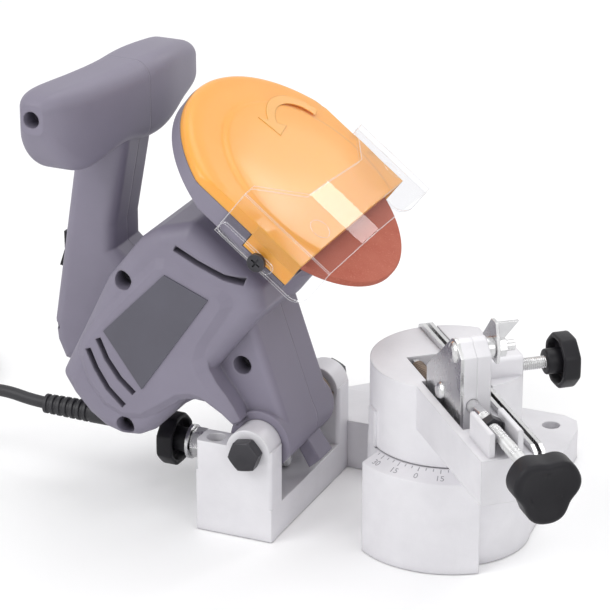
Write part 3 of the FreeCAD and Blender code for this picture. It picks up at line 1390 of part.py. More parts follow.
finish(rounded("shield_form", shield_cut, dim.shield_corner, at_shield_heel), "clear_shield", head_frame)
shield_screw_shapes = []
for sign in (-1, 1):
    way = Vector(0, -sign, 0)
    start = Vector(float(dim.shield_screw_u), sign * float(shield_outer + dim.slide_gap),
                   float(dim.shield_screw_w))
    shank_length = float(shield_outer + dim.slide_gap - tab_inner)
    head_shape = Part.makeCylinder(4.2, 2.2, start, Vector(0, sign, 0))
    cross = Part.makeBox(5, 2.4, 1, start + Vector(-2.5, -1.2 + sign * 2.2, -0.5))
    cross = cross.fuse(Part.makeBox(1, 2.4, 5, start + Vector(-0.5, -1.2 + sign * 2.2, -2.5)))
    shank_shape = Part.makeCylinder(float(dim.shield_screw_radius), shank_length, start, way)
    shield_screw_shapes.append(head_shape.cut(cross).fuse(shank_shape))
finish(solid("shield_screws_form", Part.makeCompound(shield_screw_shapes)), "shield_screws", head_frame)

# Switch body and rocker.
finish(switch_block("switch_body_form", dim.switch_length, dim.switch_width, -dim.switch_depth, 0),
       "switch_body", head_frame)
rocker_turn = Placement(switch_middle, switch_turn)
half_rocker = float(dim.switch_length) / 2 - 3
rocker_rise = float(dim.rocker_height)
rocker_low = 0.75
rocker_outline = [
    Vector(-half_rocker, 0, rocker_low + 1.0),
    Vector(-half_rocker * 0.4, 0, rocker_low),
    Vector(half_rocker * 0.4, 0, rocker_low),
    Vector(half_rocker, 0, rocker_low + 1.0),
    Vector(half_rocker, 0, rocker_rise + 1.5),
    Vector(0, 0, rocker_rise),
    Vector(-half_rocker, 0, rocker_rise + 1.5),
]
rocker_face = Part.Face(Part.makePolygon(rocker_outline + rocker_outline[:1]))
rocker_half = float(dim.switch_width) / 2 - 2.5
rocker_face.translate(Vector(0, -rocker_half, 0))
rocker_shape = rocker_face.extrude(Vector(0, 2 * rocker_half, 0))
rocker = solid("rocker_form", rocker_shape)
rocker.Placement = rocker_turn
finish(rocker, "switch_rocker", head_frame)

# Strain relief: a ribbed taper where the lead leaves the housing.
ribs = int(float(dim.relief_ribs))
plain = 20.0
rib_step = (float(dim.relief_length) - plain) / ribs
relief_wires = []


def relief_ring(distance, radius):
    return Part.Wire([Part.makeCircle(radius, Vector(distance, 0, 0), Vector(1, 0, 0))])


relief_wires.append(relief_ring(0, float(dim.relief_radius)))
relief_wires.append(relief_ring(plain, float(dim.relief_radius)))
for rib in range(ribs):
    share = rib / float(ribs)
    full = float(dim.relief_radius) + (float(dim.relief_tip_radius) - float(dim.relief_radius)) * share
    low = full - 0.9
    begin = plain + rib * rib_step
    for part, radius in ((0.12, low), (0.42, low), (0.55, full), (0.95, full)):
        relief_wires.append(relief_ring(begin + part * rib_step, radius))
relief_shape = Part.makeLoft(relief_wires, True, True)
relief_core = Part.makeCylinder(float(dim.cord_radius + dim.slide_gap), 8.0,
                                Vector(float(dim.relief_length) - 8.0, 0, 0), Vector(1, 0, 0))
relief = solid("relief_form", relief_shape.cut(relief_core))
relief.Placement = Placement(relief_start, Rotation(Vector(1, 0, 0), relief_way))
finish(relief, "strain_relief", head_frame)

# Free stretch of the lead, from the strain relief to its coil on the bench.
cord_exit = Vector(-float(dim.relief_start_x) - float(dim.relief_length) + 7.5, -float(dim.relief_y),
                   float(dim.relief_start_z))
cord_floor = float(dim.cord_radius) + 0.2
coil_entry = Vector(-float(dim.coil_x) + 6, float(dim.coil_y) - float(dim.coil_outer), cord_floor)
cord_points = [
    cord_exit,
    Vector(-204, -float(dim.relief_y), float(dim.relief_start_z)),
    Vector(-220, -27.3, 43.5),
    Vector(-236, -25, 41),
    Vector(-250, -21, 32.5),
    Vector(-262, -15.8, 21),
    Vector(-274, -9.5, 10.5),
    Vector(-288, -4.6, 4.6),
    Vector(-303, coil_entry.y, coil_entry.z),
    coil_entry,
]


def lead_wire(points):
    # Straight runs joined by tangent arcs, each as large as its two runs allow.
    edges = []
    radii = []
    start = points[0]
    for index in range(1, len(points) - 1):
        before, corner, after = points[index - 1], points[index], points[index + 1]
        into = Vector(corner - before).normalize()
        away = Vector(after - corner).normalize()
        turn = math.acos(max(-1.0, min(1.0, into.dot(away))))
        reach = 0.45 * min((corner - before).Length, (after - corner).Length)
        radii.append(reach / math.tan(turn / 2))
        arc_start = corner - into * reach
        arc_end = corner + away * reach
        edges.append(Part.LineSegment(start, arc_start).toShape())
        edges.append(arc_edge(arc_start, into, arc_end))
        start = arc_end
    edges.append(Part.LineSegment(start, points[-1]).toShape())
    return Part.Wire(edges), radii


lead_path, lead_radii = lead_wire(cord_points)
print("lead radii: " + ", ".join("%.0f" % radius for radius in lead_radii))
cord_radius = float(dim.cord_radius)
lead_shape = tube(lead_path, cord_points[0], Vector(cord_points[1] - cord_points[0]).normalize(), cord_radius)
lead_ideal = math.pi * cord_radius ** 2 * lead_path.Length
print("lead: length %.1f mm, volume %.1f of %.1f" % (lead_path.Length, lead_shape.Volume, lead_ideal))
finish(solid("lead_form", lead_shape), "cord_lead")

# Coil of the rest of the lead: it spirals in, climbs a layer, spirals out again and lifts its end for the plug.
coil_centre = Vector(-float(dim.coil_x), float(dim.coil_y), 0)
coil_turns = int(float(dim.coil_turns))
coil_pitch = float(dim.coil_pitch)
layer_rise = 2 * cord_radius + 0.7
quarters_in = coil_turns * 4
quarters_all = 2 * quarters_in + 1


def coil_place(quarter):
    # Place of the coil's middle line at a number of quarter turns from its start.
    turned_by = -math.pi / 2 - quarter * math.pi / 2
    climb_from, climb_to = quarters_in, quarters_in + 2
    if quarter <= climb_from:
        radius = float(dim.coil_outer) - coil_pitch * quarter / 4
        height = cord_floor
    elif quarter >= climb_to:
        radius = float(dim.coil_outer) - coil_pitch * (climb_from + climb_to - quarter) / 4
        height = cord_floor + layer_rise
    else:
        share = (quarter - climb_from) / (climb_to - climb_from)
        radius = float(dim.coil_outer) - coil_pitch * (climb_from / 4 + share * (1 - share) * 0.5)
        height = cord_floor + layer_rise * (share * share * (3 - 2 * share))
    if quarter > quarters_all - 1:
        share = quarter - quarters_all + 1
        height += float(dim.plug_rise) * (share * share * (3 - 2 * share))
    return coil_centre + Vector(radius * math.cos(turned_by), radius * math.sin(turned_by), height)


coil_points = [coil_place(quarter) for quarter in range(quarters_all + 1)]
coil_tangents = []
for quarter in range(quarters_all + 1):
    before = coil_place(max(quarter - 1e-3, 0))
    after = coil_place(min(quarter + 1e-3, quarters_all))
    coil_tangents.append(Vector(after - before).normalize())
coil_path = Part.Wire(Part.__sortEdges__(biarc_edges(coil_points, coil_tangents)))
entry_run = Part.LineSegment(coil_entry, coil_points[0]).toShape()
coil_tangents[0] = Vector(-1, 0, 0)
coil_edges = [entry_run] + biarc_edges(coil_points, coil_tangents)
coil_last = coil_points[-1] + coil_tangents[-1] * 2 * cord_radius
coil_edges.append(Part.LineSegment(coil_points[-1], coil_last).toShape())
coil_path = Part.Wire(Part.__sortEdges__(coil_edges))
coil_shape = tube(coil_path, coil_entry, Vector(-1, 0, 0), cord_radius)
coil_fine = [coil_place(step / 8.0) for step in range(8 * quarters_all + 1)]
coil_gap = least_self_gap(coil_fine, cord_radius, math.pi * 20)
coil_ideal = math.pi * cord_radius ** 2 * coil_path.Length
print("coil: length %.0f mm, least gap %.2f mm, volume %.0f of %.0f"
      % (coil_path.Length, coil_gap, coil_shape.Volume, coil_ideal))
finish(solid("coil_form", coil_shape), "cord_coil")

# Plug at the end of the coil, resting on it.
plug_way = coil_tangents[-1]
plug_frame = Placement(coil_last, Rotation(Vector(1, 0, 0), plug_way))
plug_length = float(dim.plug_length)
plug_radius = float(dim.plug_radius)
plug_profile = [
    Vector(0.05, 0, 0),
    Vector(0.05, 0, cord_radius + 1.2),
    Vector(plug_length * 0.35, 0, cord_radius + 2.0),
    Vector(plug_length * 0.6, 0, plug_radius),
    Vector(plug_length, 0, plug_radius),
    Vector(plug_length, 0, 0),
]
plug_face = Part.Face(Part.makePolygon(plug_profile + plug_profile[:1]))
plug_shape = plug_face.revolve(Vector(), Vector(1, 0, 0), 360)
for sign in (-1, 1):
    pin_at = Vector(plug_length - 1, sign * float(dim.plug_pin_spacing) / 2, 0)
    plug_shape = plug_shape.fuse(Part.makeCylinder(float(dim.plug_pin_radius), float(dim.plug_pin_length) + 1,
                                                   pin_at, Vector(1, 0, 0)))
plug = solid("plug_form", plug_shape)
plug.Placement = plug_frame
finish(plug, "mains_plug")

# Spring round the pivot bolt that lifts the head.
lift_start = float(dim.leg_far) + float(dim.lift_wire) + 0.4
lift_end = float(cheek_inner) - float(dim.lift_wire) - 0.4


def lift_place(angle, radius):
    share = angle / (2 * math.pi * float(dim.lift_turns))
    return pivot_point + Vector(radius * math.cos(angle), lift_start + (lift_end - lift_start) * share,
                                radius * math.sin(angle))


lift_shape, lift_gap, lift_length = helix_tube(
    float(dim.lift_turns), float(dim.lift_radius), float(dim.lift_wire), lift_place)
print("lift spring: least gap %.2f mm" % lift_gap)
finish(solid("lift_spring_form", lift_shape), "lift_spring")

doc.recompute()

# Nothing is written unless every object is sound.
faults = []
for item in doc.Objects:
    if "Invalid" in item.State or "Error" in item.State:
        faults.append("%s is %s" % (item.Label, item.State))
for node in nodes:
    if node.Shape.isNull() or not node.Shape.isValid() or not node.Shape.Solids:
        faults.append("%s has no sound solid" % node.Label)
if faults:
    raise RuntimeError("; ".join(faults))

os.makedirs("parts", exist_ok=True)
for node in nodes:
    node.Shape.exportStep("parts/%s.step" % node.Label)
print("%d sub-parts written" % len(nodes))
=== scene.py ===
import bmesh
import bpy
import json
import math
from mathutils import Matrix, Vector


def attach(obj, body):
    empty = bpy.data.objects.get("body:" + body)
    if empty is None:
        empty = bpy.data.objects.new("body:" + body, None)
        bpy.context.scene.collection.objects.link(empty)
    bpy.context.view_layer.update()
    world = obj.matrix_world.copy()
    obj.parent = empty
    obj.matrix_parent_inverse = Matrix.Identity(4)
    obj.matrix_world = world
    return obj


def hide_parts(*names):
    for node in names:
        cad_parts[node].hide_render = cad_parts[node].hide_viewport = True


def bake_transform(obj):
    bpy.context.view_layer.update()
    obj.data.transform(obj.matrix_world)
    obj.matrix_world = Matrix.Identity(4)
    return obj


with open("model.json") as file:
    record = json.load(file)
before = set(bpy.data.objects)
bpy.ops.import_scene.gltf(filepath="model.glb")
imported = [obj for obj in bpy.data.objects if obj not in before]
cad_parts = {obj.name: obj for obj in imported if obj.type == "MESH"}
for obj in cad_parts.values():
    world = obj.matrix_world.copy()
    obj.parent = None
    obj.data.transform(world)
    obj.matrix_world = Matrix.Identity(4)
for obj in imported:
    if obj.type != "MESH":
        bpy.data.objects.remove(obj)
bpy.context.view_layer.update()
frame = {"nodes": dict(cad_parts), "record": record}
nodes = frame["nodes"]
scene = bpy.context.scene
scene.view_settings.view_transform = "Standard"
print("frame loaded:", len(nodes), "nodes")

# where each assembly is drawn from: degrees and metres
datum = {"across": 0.1015, "deep": 0.040, "swing": 49.0, "tilt": 52.19,
         "pivotBack": 0.0824, "pivotUp": 0.0445}
baseSpace = Matrix.Translation((datum["across"], datum["deep"], 0))
tableSpace = baseSpace @ Matrix.Rotation(math.radians(-datum["swing"]), 4, "Z")
headSpace = (baseSpace @ Matrix.Translation((-datum["pivotBack"], 0, datum["pivotUp"]))
             @ Matrix.Rotation(math.radians(-datum["tilt"]), 4, "Y"))
mm = 0.001


def along(space, point, way, turn=0.0):  # a frame on a point given in mm, its Z along way
    lean = Vector(way).to_track_quat("Z", "Y").to_matrix().to_4x4()
    return space @ Matrix.Translation(Vector(point) * mm) @ lean @ Matrix.Rotation(math.radians(turn), 4, "Z")


# body None leaves the piece unattached
def addPiece(name, bm, space, material, body, stands=(), sharp=35):
    bmesh.ops.recalc_face_normals(bm, faces=bm.faces)
    mesh = bpy.data.meshes.new(name)
    bm.to_mesh(mesh)
    bm.free()
    mesh.transform(space)
    mesh.shade_smooth()
    mesh.set_sharp_from_angle(angle=math.radians(sharp))
    mesh.materials.append(material)
    piece = bpy.data.objects.new(name, mesh)
    scene.collection.objects.link(piece)
    if body:
        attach(piece, body)
    if stands:
        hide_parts(*stands)
    return piece


def skinRings(bm, rings, closeStart=True, closeEnd=True):  # faces between rings of points, in mm
    made = [[bm.verts.new(Vector(point) * mm) for point in ring] for ring in rings]
    count = len(made[0])
    for low, high in zip(made, made[1:]):
        for step in range(count):
            after = (step + 1) % count
            bm.faces.new((low[step], low[after], high[after], high[step]))
    if closeStart:
        bm.faces.new(list(reversed(made[0])))
    if closeEnd:
        bm.faces.new(made[-1])


def ringAt(height, reach, count):  # one ring round Z, its reach a number or a function of the angle
    ring = []
    for step in range(count):
        angle = 2 * math.pi * step / count
        radius = reach(angle) if callable(reach) else reach
        ring.append((radius * math.cos(angle), radius * math.sin(angle), height))
    return ring


# node groups shared by the finishes

def makeGroup(name, inputs, outputs):
    group = bpy.data.node_groups.new(name, "ShaderNodeTree")
    for label, value in inputs.items():
        socket = group.interface.new_socket(name=label, in_out="INPUT", socket_type="NodeSocketFloat")
        socket.default_value = value
    for label, kind in outputs.items():
        group.interface.new_socket(name=label, in_out="OUTPUT", socket_type="NodeSocket" + kind)
    return group, group.nodes.new("NodeGroupInput"), group.nodes.new("NodeGroupOutput")


def noiseNode(tree, vector, scale, detail=3.0, rough=0.5):
    node = tree.nodes.new("ShaderNodeTexNoise")
    node.inputs["Detail"].default_value = detail
    node.inputs["Roughness"].default_value = rough
    tree.links.new(vector, node.inputs["Vector"])
    if isinstance(scale, (int, float)):
        node.inputs["Scale"].default_value = scale
    else:
        tree.links.new(scale, node.inputs["Scale"])
    return node.outputs["Fac"]


def mathNode(tree, kind, first, second=0.5, clamp=False):
    node = tree.nodes.new("ShaderNodeMath")
    node.operation = kind
    node.use_clamp = clamp
    for socket, value in zip(node.inputs, (first, second)):
        if isinstance(value, (int, float)):
            socket.default_value = value
        else:
            tree.links.new(value, socket)
    return node.outputs[0]


def rangeNode(tree, value, low, high, toLow=0.0, toHigh=1.0):
    node = tree.nodes.new("ShaderNodeMapRange")
    for label, number in (("From Min", low), ("From Max", high), ("To Min", toLow), ("To Max", toHigh)):
        node.inputs[label].default_value = number
    tree.links.new(value, node.inputs["Value"])
    return node.outputs["Result"]


def makeSoftEdge():  # rounded normals and a mask along the edges
    tree, start, end = makeGroup("softEdge", {"Radius": 0.0006}, {"Normal": "Vector", "Edge": "Float"})
    bevel = tree.nodes.new("ShaderNodeBevel")
    bevel.samples = 6
    place = tree.nodes.new("ShaderNodeNewGeometry")
    dot = tree.nodes.new("ShaderNodeVectorMath")
    dot.operation = "DOT_PRODUCT"
    tree.links.new(start.outputs["Radius"], bevel.inputs["Radius"])
    tree.links.new(bevel.outputs["Normal"], dot.inputs[0])
    tree.links.new(place.outputs["Normal"], dot.inputs[1])
    tree.links.new(bevel.outputs["Normal"], end.inputs["Normal"])
    tree.links.new(rangeNode(tree, dot.outputs["Value"], 0.995, 0.86), end.inputs["Edge"])
    return tree


def makeMouldSkin():  # the fine spark texture of moulded plastic
    tree, start, end = makeGroup("mouldSkin", {"Scale": 1400.0}, {"Height": "Float", "Mottle": "Float"})
    place = tree.nodes.new("ShaderNodeTexCoord").outputs["Object"]
    fine = noiseNode(tree, place, start.outputs["Scale"], 2.0, 0.6)
    broad = noiseNode(tree, place, 28.0, 4.0, 0.55)
    tree.links.new(fine, end.inputs["Height"])
    tree.links.new(rangeNode(tree, broad, 0.3, 0.7), end.inputs["Mottle"])
    return tree


def makeCastSkin():  # sandy cast metal: grain, small pits and wide blotches
    tree, start, end = makeGroup("castSkin", {"Scale": 900.0}, {"Height": "Float", "Mottle": "Float"})
    place = tree.nodes.new("ShaderNodeTexCoord").outputs["Object"]
    grain = noiseNode(tree, place, start.outputs["Scale"], 3.0, 0.65)
    pits = tree.nodes.new("ShaderNodeTexVoronoi")
    pits.inputs["Scale"].default_value = 420.0
    tree.links.new(place, pits.inputs["Vector"])
    pitted = rangeNode(tree, pits.outputs["Distance"], 0.05, 0.22, 0.0, 0.5)
    broad = noiseNode(tree, place, 45.0, 5.0, 0.6)
    tree.links.new(mathNode(tree, "ADD", grain, pitted), end.inputs["Height"])
    tree.links.new(rangeNode(tree, broad, 0.3, 0.72), end.inputs["Mottle"])
    return tree


def makeStreaks():  # drawn or rolled metal: long fine lines and soft clouds
    tree, start, end = makeGroup("streaks", {"Scale": 260.0}, {"Height": "Float", "Mottle": "Float"})
    place = tree.nodes.new("ShaderNodeTexCoord").outputs["Object"]
    squeeze = tree.nodes.new("ShaderNodeMapping")
    squeeze.inputs["Scale"].default_value = (1.0, 1.0, 9.0)
    tree.links.new(place, squeeze.inputs["Vector"])
    lines = noiseNode(tree, squeeze.outputs["Vector"], start.outputs["Scale"], 4.0, 0.7)
    broad = noiseNode(tree, place, 90.0, 4.0, 0.6)
    tree.links.new(lines, end.inputs["Height"])
    tree.links.new(rangeNode(tree, broad, 0.3, 0.7), end.inputs["Mottle"])
    return tree


def makeGrit():  # bonded abrasive: packed grains with bright specks
    tree, start, end = makeGroup("grit", {"Scale": 1900.0}, {"Height": "Float", "Mottle": "Float"})
    place = tree.nodes.new("ShaderNodeTexCoord").outputs["Object"]
    grains = tree.nodes.new("ShaderNodeTexVoronoi")
    tree.links.new(start.outputs["Scale"], grains.inputs["Scale"])
    tree.links.new(place, grains.inputs["Vector"])
    specks = noiseNode(tree, place, 1100.0, 2.0, 0.7)
    broad = noiseNode(tree, place, 60.0, 4.0, 0.6)
    tree.links.new(grains.outputs["Distance"], end.inputs["Height"])
    bright = rangeNode(tree, specks, 0.56, 0.74)
    clouds = rangeNode(tree, broad, 0.3, 0.9, 0.0, 0.55)
    tree.links.new(mathNode(tree, "MAXIMUM", bright, clouds), end.inputs["Mottle"])
    return tree


def makeCornerDust():  # a mask in the corners and creases where shade falls, for painted shade
    tree, start, end = makeGroup("paintedCornerShade", {"Distance": 0.006}, {"Mask": "Float"})
    shade = tree.nodes.new("ShaderNodeAmbientOcclusion")
    shade.samples = 6
    shade.only_local = False
    tree.links.new(start.outputs["Distance"], shade.inputs["Distance"])
    tree.links.new(rangeNode(tree, shade.outputs["AO"], 0.75, 0.2), end.inputs["Mask"])
    return tree


groups = {"softEdge": makeSoftEdge(), "mouldSkin": makeMouldSkin(), "castSkin": makeCastSkin(),
          "streaks": makeStreaks(), "grit": makeGrit(), "paintedCornerShade": makeCornerDust()}


def placeGroup(tree, name, **values):
    node = tree.nodes.new("ShaderNodeGroup")
    node.node_tree = groups[name]
    for label, value in values.items():
        node.inputs[label].default_value = value
    return node


def mixColour(tree, factor, first, second):
    node = tree.nodes.new("ShaderNodeMix")
    node.data_type = "RGBA"
    tree.links.new(factor, node.inputs[0])
    for socket, value in ((node.inputs[6], first), (node.inputs[7], second)):
        if isinstance(value, tuple):
            socket.default_value = (*value, 1.0)
        else:
            tree.links.new(value, socket)
    return node.outputs[2]


def makeFinish(name, look):
    material = bpy.data.materials.new(name)
    material.use_nodes = True
    tree = material.node_tree
    shader = tree.nodes["Principled BSDF"]
    shader.inputs["Metallic"].default_value = look.get("metallic", 0.0)
    for label, value in look.get("sockets", {}).items():
        shader.inputs[label].default_value = value
    skin = placeGroup(tree, look["skin"], Scale=look["scale"])
    edge = placeGroup(tree, "softEdge", Radius=look.get("round", 0.0005))
    cornerShade = placeGroup(tree, "paintedCornerShade", Distance=look.get("reach", 0.005))
    mottle = skin.outputs["Mottle"]
    colour = mixColour(tree, mottle, look["colour"], look["cloud"])
    if "worn" in look:
        worn = mathNode(tree, "MULTIPLY", edge.outputs["Edge"], look["wear"])
        ragged = mathNode(tree, "MULTIPLY", worn, rangeNode(tree, mottle, 0.0, 1.0, 0.35, 1.0), True)
        colour = mixColour(tree, ragged, colour, look["worn"])
    # painted shade: the colour is darkened in corners and creases where shade falls
    if "shadeColour" in look:
        shadeStrength = mathNode(tree, "MULTIPLY", cornerShade.outputs["Mask"], look["shadeStrength"])
        colour = mixColour(tree, shadeStrength, colour, look["shadeColour"])
    tree.links.new(colour, shader.inputs["Base Color"])
    tree.links.new(rangeNode(tree, mottle, 0.0, 1.0, *look["rough"]), shader.inputs["Roughness"])
    bump = tree.nodes.new("ShaderNodeBump")
    bump.inputs["Strength"].default_value = look["bump"]
    bump.inputs["Distance"].default_value = look.get("depth", 0.0002)
    tree.links.new(skin.outputs["Height"], bump.inputs["Height"])
    tree.links.new(edge.outputs["Normal"], bump.inputs["Normal"])
    tree.links.new(bump.outputs["Normal"], shader.inputs["Normal"])
    return material


# the shade colours and strengths in these looks are painted shade for corners and creases
looks = {
    "greyHousing": {"colour": (0.218, 0.200, 0.260), "cloud": (0.243, 0.224, 0.290),
                    "skin": "mouldSkin", "scale": 1500.0, "rough": (0.44, 0.54), "bump": 0.22, "round": 0.0014,
                    "worn": (0.30, 0.275, 0.34), "wear": 0.45,
                    "shadeColour": (0.08, 0.073, 0.095), "shadeStrength": 0.6, "reach": 0.006},
    "orangeCover": {"colour": (0.93, 0.385, 0.055), "cloud": (0.95, 0.415, 0.07),
                    "skin": "mouldSkin", "scale": 300.0, "rough": (0.30, 0.38), "bump": 0.03, "round": 0.0008,
                    "worn": (0.97, 0.52, 0.15), "wear": 0.4,
                    "sockets": {"Subsurface Weight": 0.2, "Subsurface Radius": (0.006, 0.0025, 0.0006),
                                "Subsurface Scale": 1.0, "Coat Weight": 0.12, "Coat Roughness": 0.1}},
    "abrasive": {"colour": (0.47, 0.112, 0.068), "cloud": (0.63, 0.215, 0.145),
                 "skin": "grit", "scale": 2300.0, "rough": (0.8, 0.62), "bump": 0.6, "depth": 0.0003,
                 "worn": (0.46, 0.19, 0.13), "wear": 0.5},
    "castMetal": {"colour": (0.745, 0.735, 0.765), "cloud": (0.82, 0.81, 0.84), "metallic": 0.15,
                  "skin": "castSkin", "scale": 1100.0, "rough": (0.42, 0.54), "bump": 0.3, "round": 0.0010,
                  "worn": (0.9, 0.9, 0.92), "wear": 0.6,
                  "shadeColour": (0.30, 0.285, 0.32), "shadeStrength": 0.55, "reach": 0.007},
    # painted shade: the darker grey of the engraved scale marks
    "engravingShade": {"colour": (0.33, 0.32, 0.35), "cloud": (0.42, 0.41, 0.44), "metallic": 0.15,
                 "skin": "castSkin", "scale": 1100.0, "rough": (0.45, 0.55), "bump": 0.1, "round": 0.0001},
    "zincSteel": {"colour": (0.62, 0.62, 0.63), "cloud": (0.74, 0.74, 0.74), "metallic": 1.0,
                  "skin": "streaks", "scale": 300.0, "rough": (0.2, 0.34), "bump": 0.08, "round": 0.0004,
                  "worn": (0.9, 0.9, 0.9), "wear": 0.6,
                  "shadeColour": (0.12, 0.11, 0.11), "shadeStrength": 0.55, "reach": 0.003},
    "blackSteel": {"colour": (0.032, 0.031, 0.036), "cloud": (0.058, 0.056, 0.064), "metallic": 0.5,
                   "skin": "castSkin", "scale": 1300.0, "rough": (0.32, 0.46), "bump": 0.14, "round": 0.0005,
                   "worn": (0.22, 0.22, 0.24), "wear": 0.45},
    "bronzeSpring": {"colour": (0.15, 0.115, 0.09), "cloud": (0.26, 0.2, 0.16), "metallic": 0.9,
                     "skin": "streaks", "scale": 500.0, "rough": (0.28, 0.42), "bump": 0.1,
                     "shadeColour": (0.05, 0.035, 0.03), "shadeStrength": 0.7, "reach": 0.002},
    "blackKnob": {"colour": (0.0085, 0.008, 0.0105), "cloud": (0.014, 0.0132, 0.017),
                  "skin": "mouldSkin", "scale": 1500.0, "rough": (0.4, 0.52), "bump": 0.3, "round": 0.0006,
                  "worn": (0.06, 0.058, 0.07), "wear": 0.4, "sockets": {"Specular IOR Level": 0.28}},
    "barePlate": {"colour": (0.085, 0.082, 0.105), "cloud": (0.10, 0.097, 0.125),
                  "skin": "mouldSkin", "scale": 800.0, "rough": (0.3, 0.4), "bump": 0.08, "round": 0.0003,
                  "worn": (0.25, 0.25, 0.29), "wear": 0.5},
    "ironCore": {"colour": (0.2, 0.2, 0.21), "cloud": (0.28, 0.28, 0.29), "metallic": 0.9,
                 "skin": "streaks", "scale": 400.0, "rough": (0.35, 0.5), "bump": 0.2},
    "copper": {"colour": (0.7, 0.33, 0.16), "cloud": (0.8, 0.42, 0.22), "metallic": 1.0,
               "skin": "streaks", "scale": 400.0, "rough": (0.25, 0.4), "bump": 0.1},
    "leadRubber": {"colour": (0.016, 0.0155, 0.019), "cloud": (0.028, 0.027, 0.032),
                   "skin": "mouldSkin", "scale": 1800.0, "rough": (0.42, 0.55), "bump": 0.2, "round": 0.0004,
                   "worn": (0.08, 0.08, 0.09), "wear": 0.35},
}
finishes = {name: makeFinish(name, look) for name, look in looks.items()}


clearLook = {"colour": (0.96, 0.96, 0.965, 1), "through": (0.965, 0.965, 0.97, 1), "metallic": 1.0,
             "scale": 120.0, "round": 0.0009, "rough": (0.03, 0.09), "index": 1.46, "mirror": 0.45,
             "edgeGleam": 0.62, "shadow": 0.8}


def makeClear():  # moulded clear plastic: a mirror by Fresnel on its outer side, with a painted highlight along its edges
    material = bpy.data.materials.new("clearShield")
    material.use_nodes = True
    tree = material.node_tree
    shader = tree.nodes["Principled BSDF"]
    shader.inputs["Base Color"].default_value = clearLook["colour"]
    shader.inputs["Metallic"].default_value = clearLook["metallic"]
    skin = placeGroup(tree, "mouldSkin", Scale=clearLook["scale"])
    edge = placeGroup(tree, "softEdge", Radius=clearLook["round"])
    rough = rangeNode(tree, skin.outputs["Mottle"], 0.4, 1.0, *clearLook["rough"])
    tree.links.new(rough, shader.inputs["Roughness"])
    tree.links.new(edge.outputs["Normal"], shader.inputs["Normal"])
    through = tree.nodes.new("ShaderNodeBsdfTransparent")
    through.inputs["Color"].default_value = clearLook["through"]
    fresnel = tree.nodes.new("ShaderNodeFresnel")
    fresnel.inputs["IOR"].default_value = clearLook["index"]
    path = tree.nodes.new("ShaderNodeLightPath")
    # painted highlight: the edges become partly a white mirror, so they show as bright lines
    edgeGleam = mathNode(tree, "MULTIPLY", edge.outputs["Edge"], clearLook["edgeGleam"])
    facing = tree.nodes.new("ShaderNodeNewGeometry")
    front = mathNode(tree, "SUBTRACT", 1.0, facing.outputs["Backfacing"])
    mirror = mathNode(tree, "MULTIPLY", fresnel.outputs["Fac"], clearLook["mirror"])
    share = mathNode(tree, "ADD", mathNode(tree, "MULTIPLY", mirror, front), edgeGleam, True)
    shaded = mathNode(tree, "MULTIPLY", path.outputs["Is Shadow Ray"], clearLook["shadow"])
    lit = mathNode(tree, "SUBTRACT", 1.0, shaded)
    mix = tree.nodes.new("ShaderNodeMixShader")
    tree.links.new(mathNode(tree, "MULTIPLY", share, lit), mix.inputs["Fac"])
    tree.links.new(through.outputs["BSDF"], mix.inputs[1])
    tree.links.new(shader.outputs["BSDF"], mix.inputs[2])
    tree.links.new(mix.outputs["Shader"], tree.nodes["Material Output"].inputs["Surface"])
    return material


finishes["clearShield"] = makeClear()
slotFinish = {"casting": "castMetal", "housing": "greyHousing", "orange": "orangeCover",
              "clear": "clearShield", "abrasive": "abrasive", "steel": "zincSteel", "blackened": "blackSteel",
              "spring": "bronzeSpring", "knob": "blackKnob", "label": "barePlate", "core": "ironCore",
              "copper": "copper", "lead": "leadRubber"}
for part in frame["record"]["subparts"]:
    for slot in nodes[part["node"]].material_slots:
        slot.material = finishes[slotFinish[part["material_slot"]]]
print("finishes:", len(finishes))

# mains lead: its route from the strain relief to the bench, then the coil
lead = {"thick": 6.0, "floor": 3.2, "coilX": -333.0, "coilY": 49.4, "outer": 52.0, "pitch": 6.6, "turns": 3,
        "climb": 0.5, "rise": 6.7, "plugLift": 5.0, "liftOver": 0.25, "perTurn": 16, "sides": 14,
        "route": [(-190.5, -28, 41), (-204, -28, 41), (-220, -27.3, 43.5), (-236, -25, 41), (-250, -21, 32.5),
                  (-262, -15.8, 21), (-274, -9.5, 10.5), (-288, -4.6, 4.6), (-303, -2.6, 3.2),
                  (-327, -2.6, 3.2)]}
lead["total"] = 2 * lead["turns"] + lead["liftOver"]


def coilPoint(turn):  # the coil's middle line at a number of turns: in on the floor, then out on top
    inward, climb = lead["turns"], lead["climb"]
    if turn <= inward:
        radius, height = lead["outer"] - lead["pitch"] * turn, 0.0
    elif turn >= inward + climb:
        radius, height = lead["outer"] - lead["pitch"] * (2 * inward + climb - turn), 1.0
    else:
        share = (turn - inward) / climb
        radius = lead["outer"] - lead["pitch"] * (inward + share * (1 - share) * 0.5)
        height = share * share * (3 - 2 * share)
    lifted = max(0.0, 1 - (lead["total"] - turn) / lead["liftOver"])
    lifted = lead["plugLift"] * lifted * lifted * (3 - 2 * lifted)
    angle = -math.pi / 2 - turn * 2 * math.pi
    return (lead["coilX"] + radius * math.cos(angle), lead["coilY"] + radius * math.sin(angle),
            lead["floor"] + lead["rise"] * height + lifted)


def leadPoints():
    points = list(lead["route"])
    count = int(lead["total"] * lead["perTurn"])
    points += [coilPoint(lead["total"] * step / count) for step in range(count + 1)]
    last, before = Vector(points[-1]), Vector(points[-2])
    points.append(last + (last - before).normalized() * lead["thick"])
    return [baseSpace @ (Vector(point) * mm) for point in points]


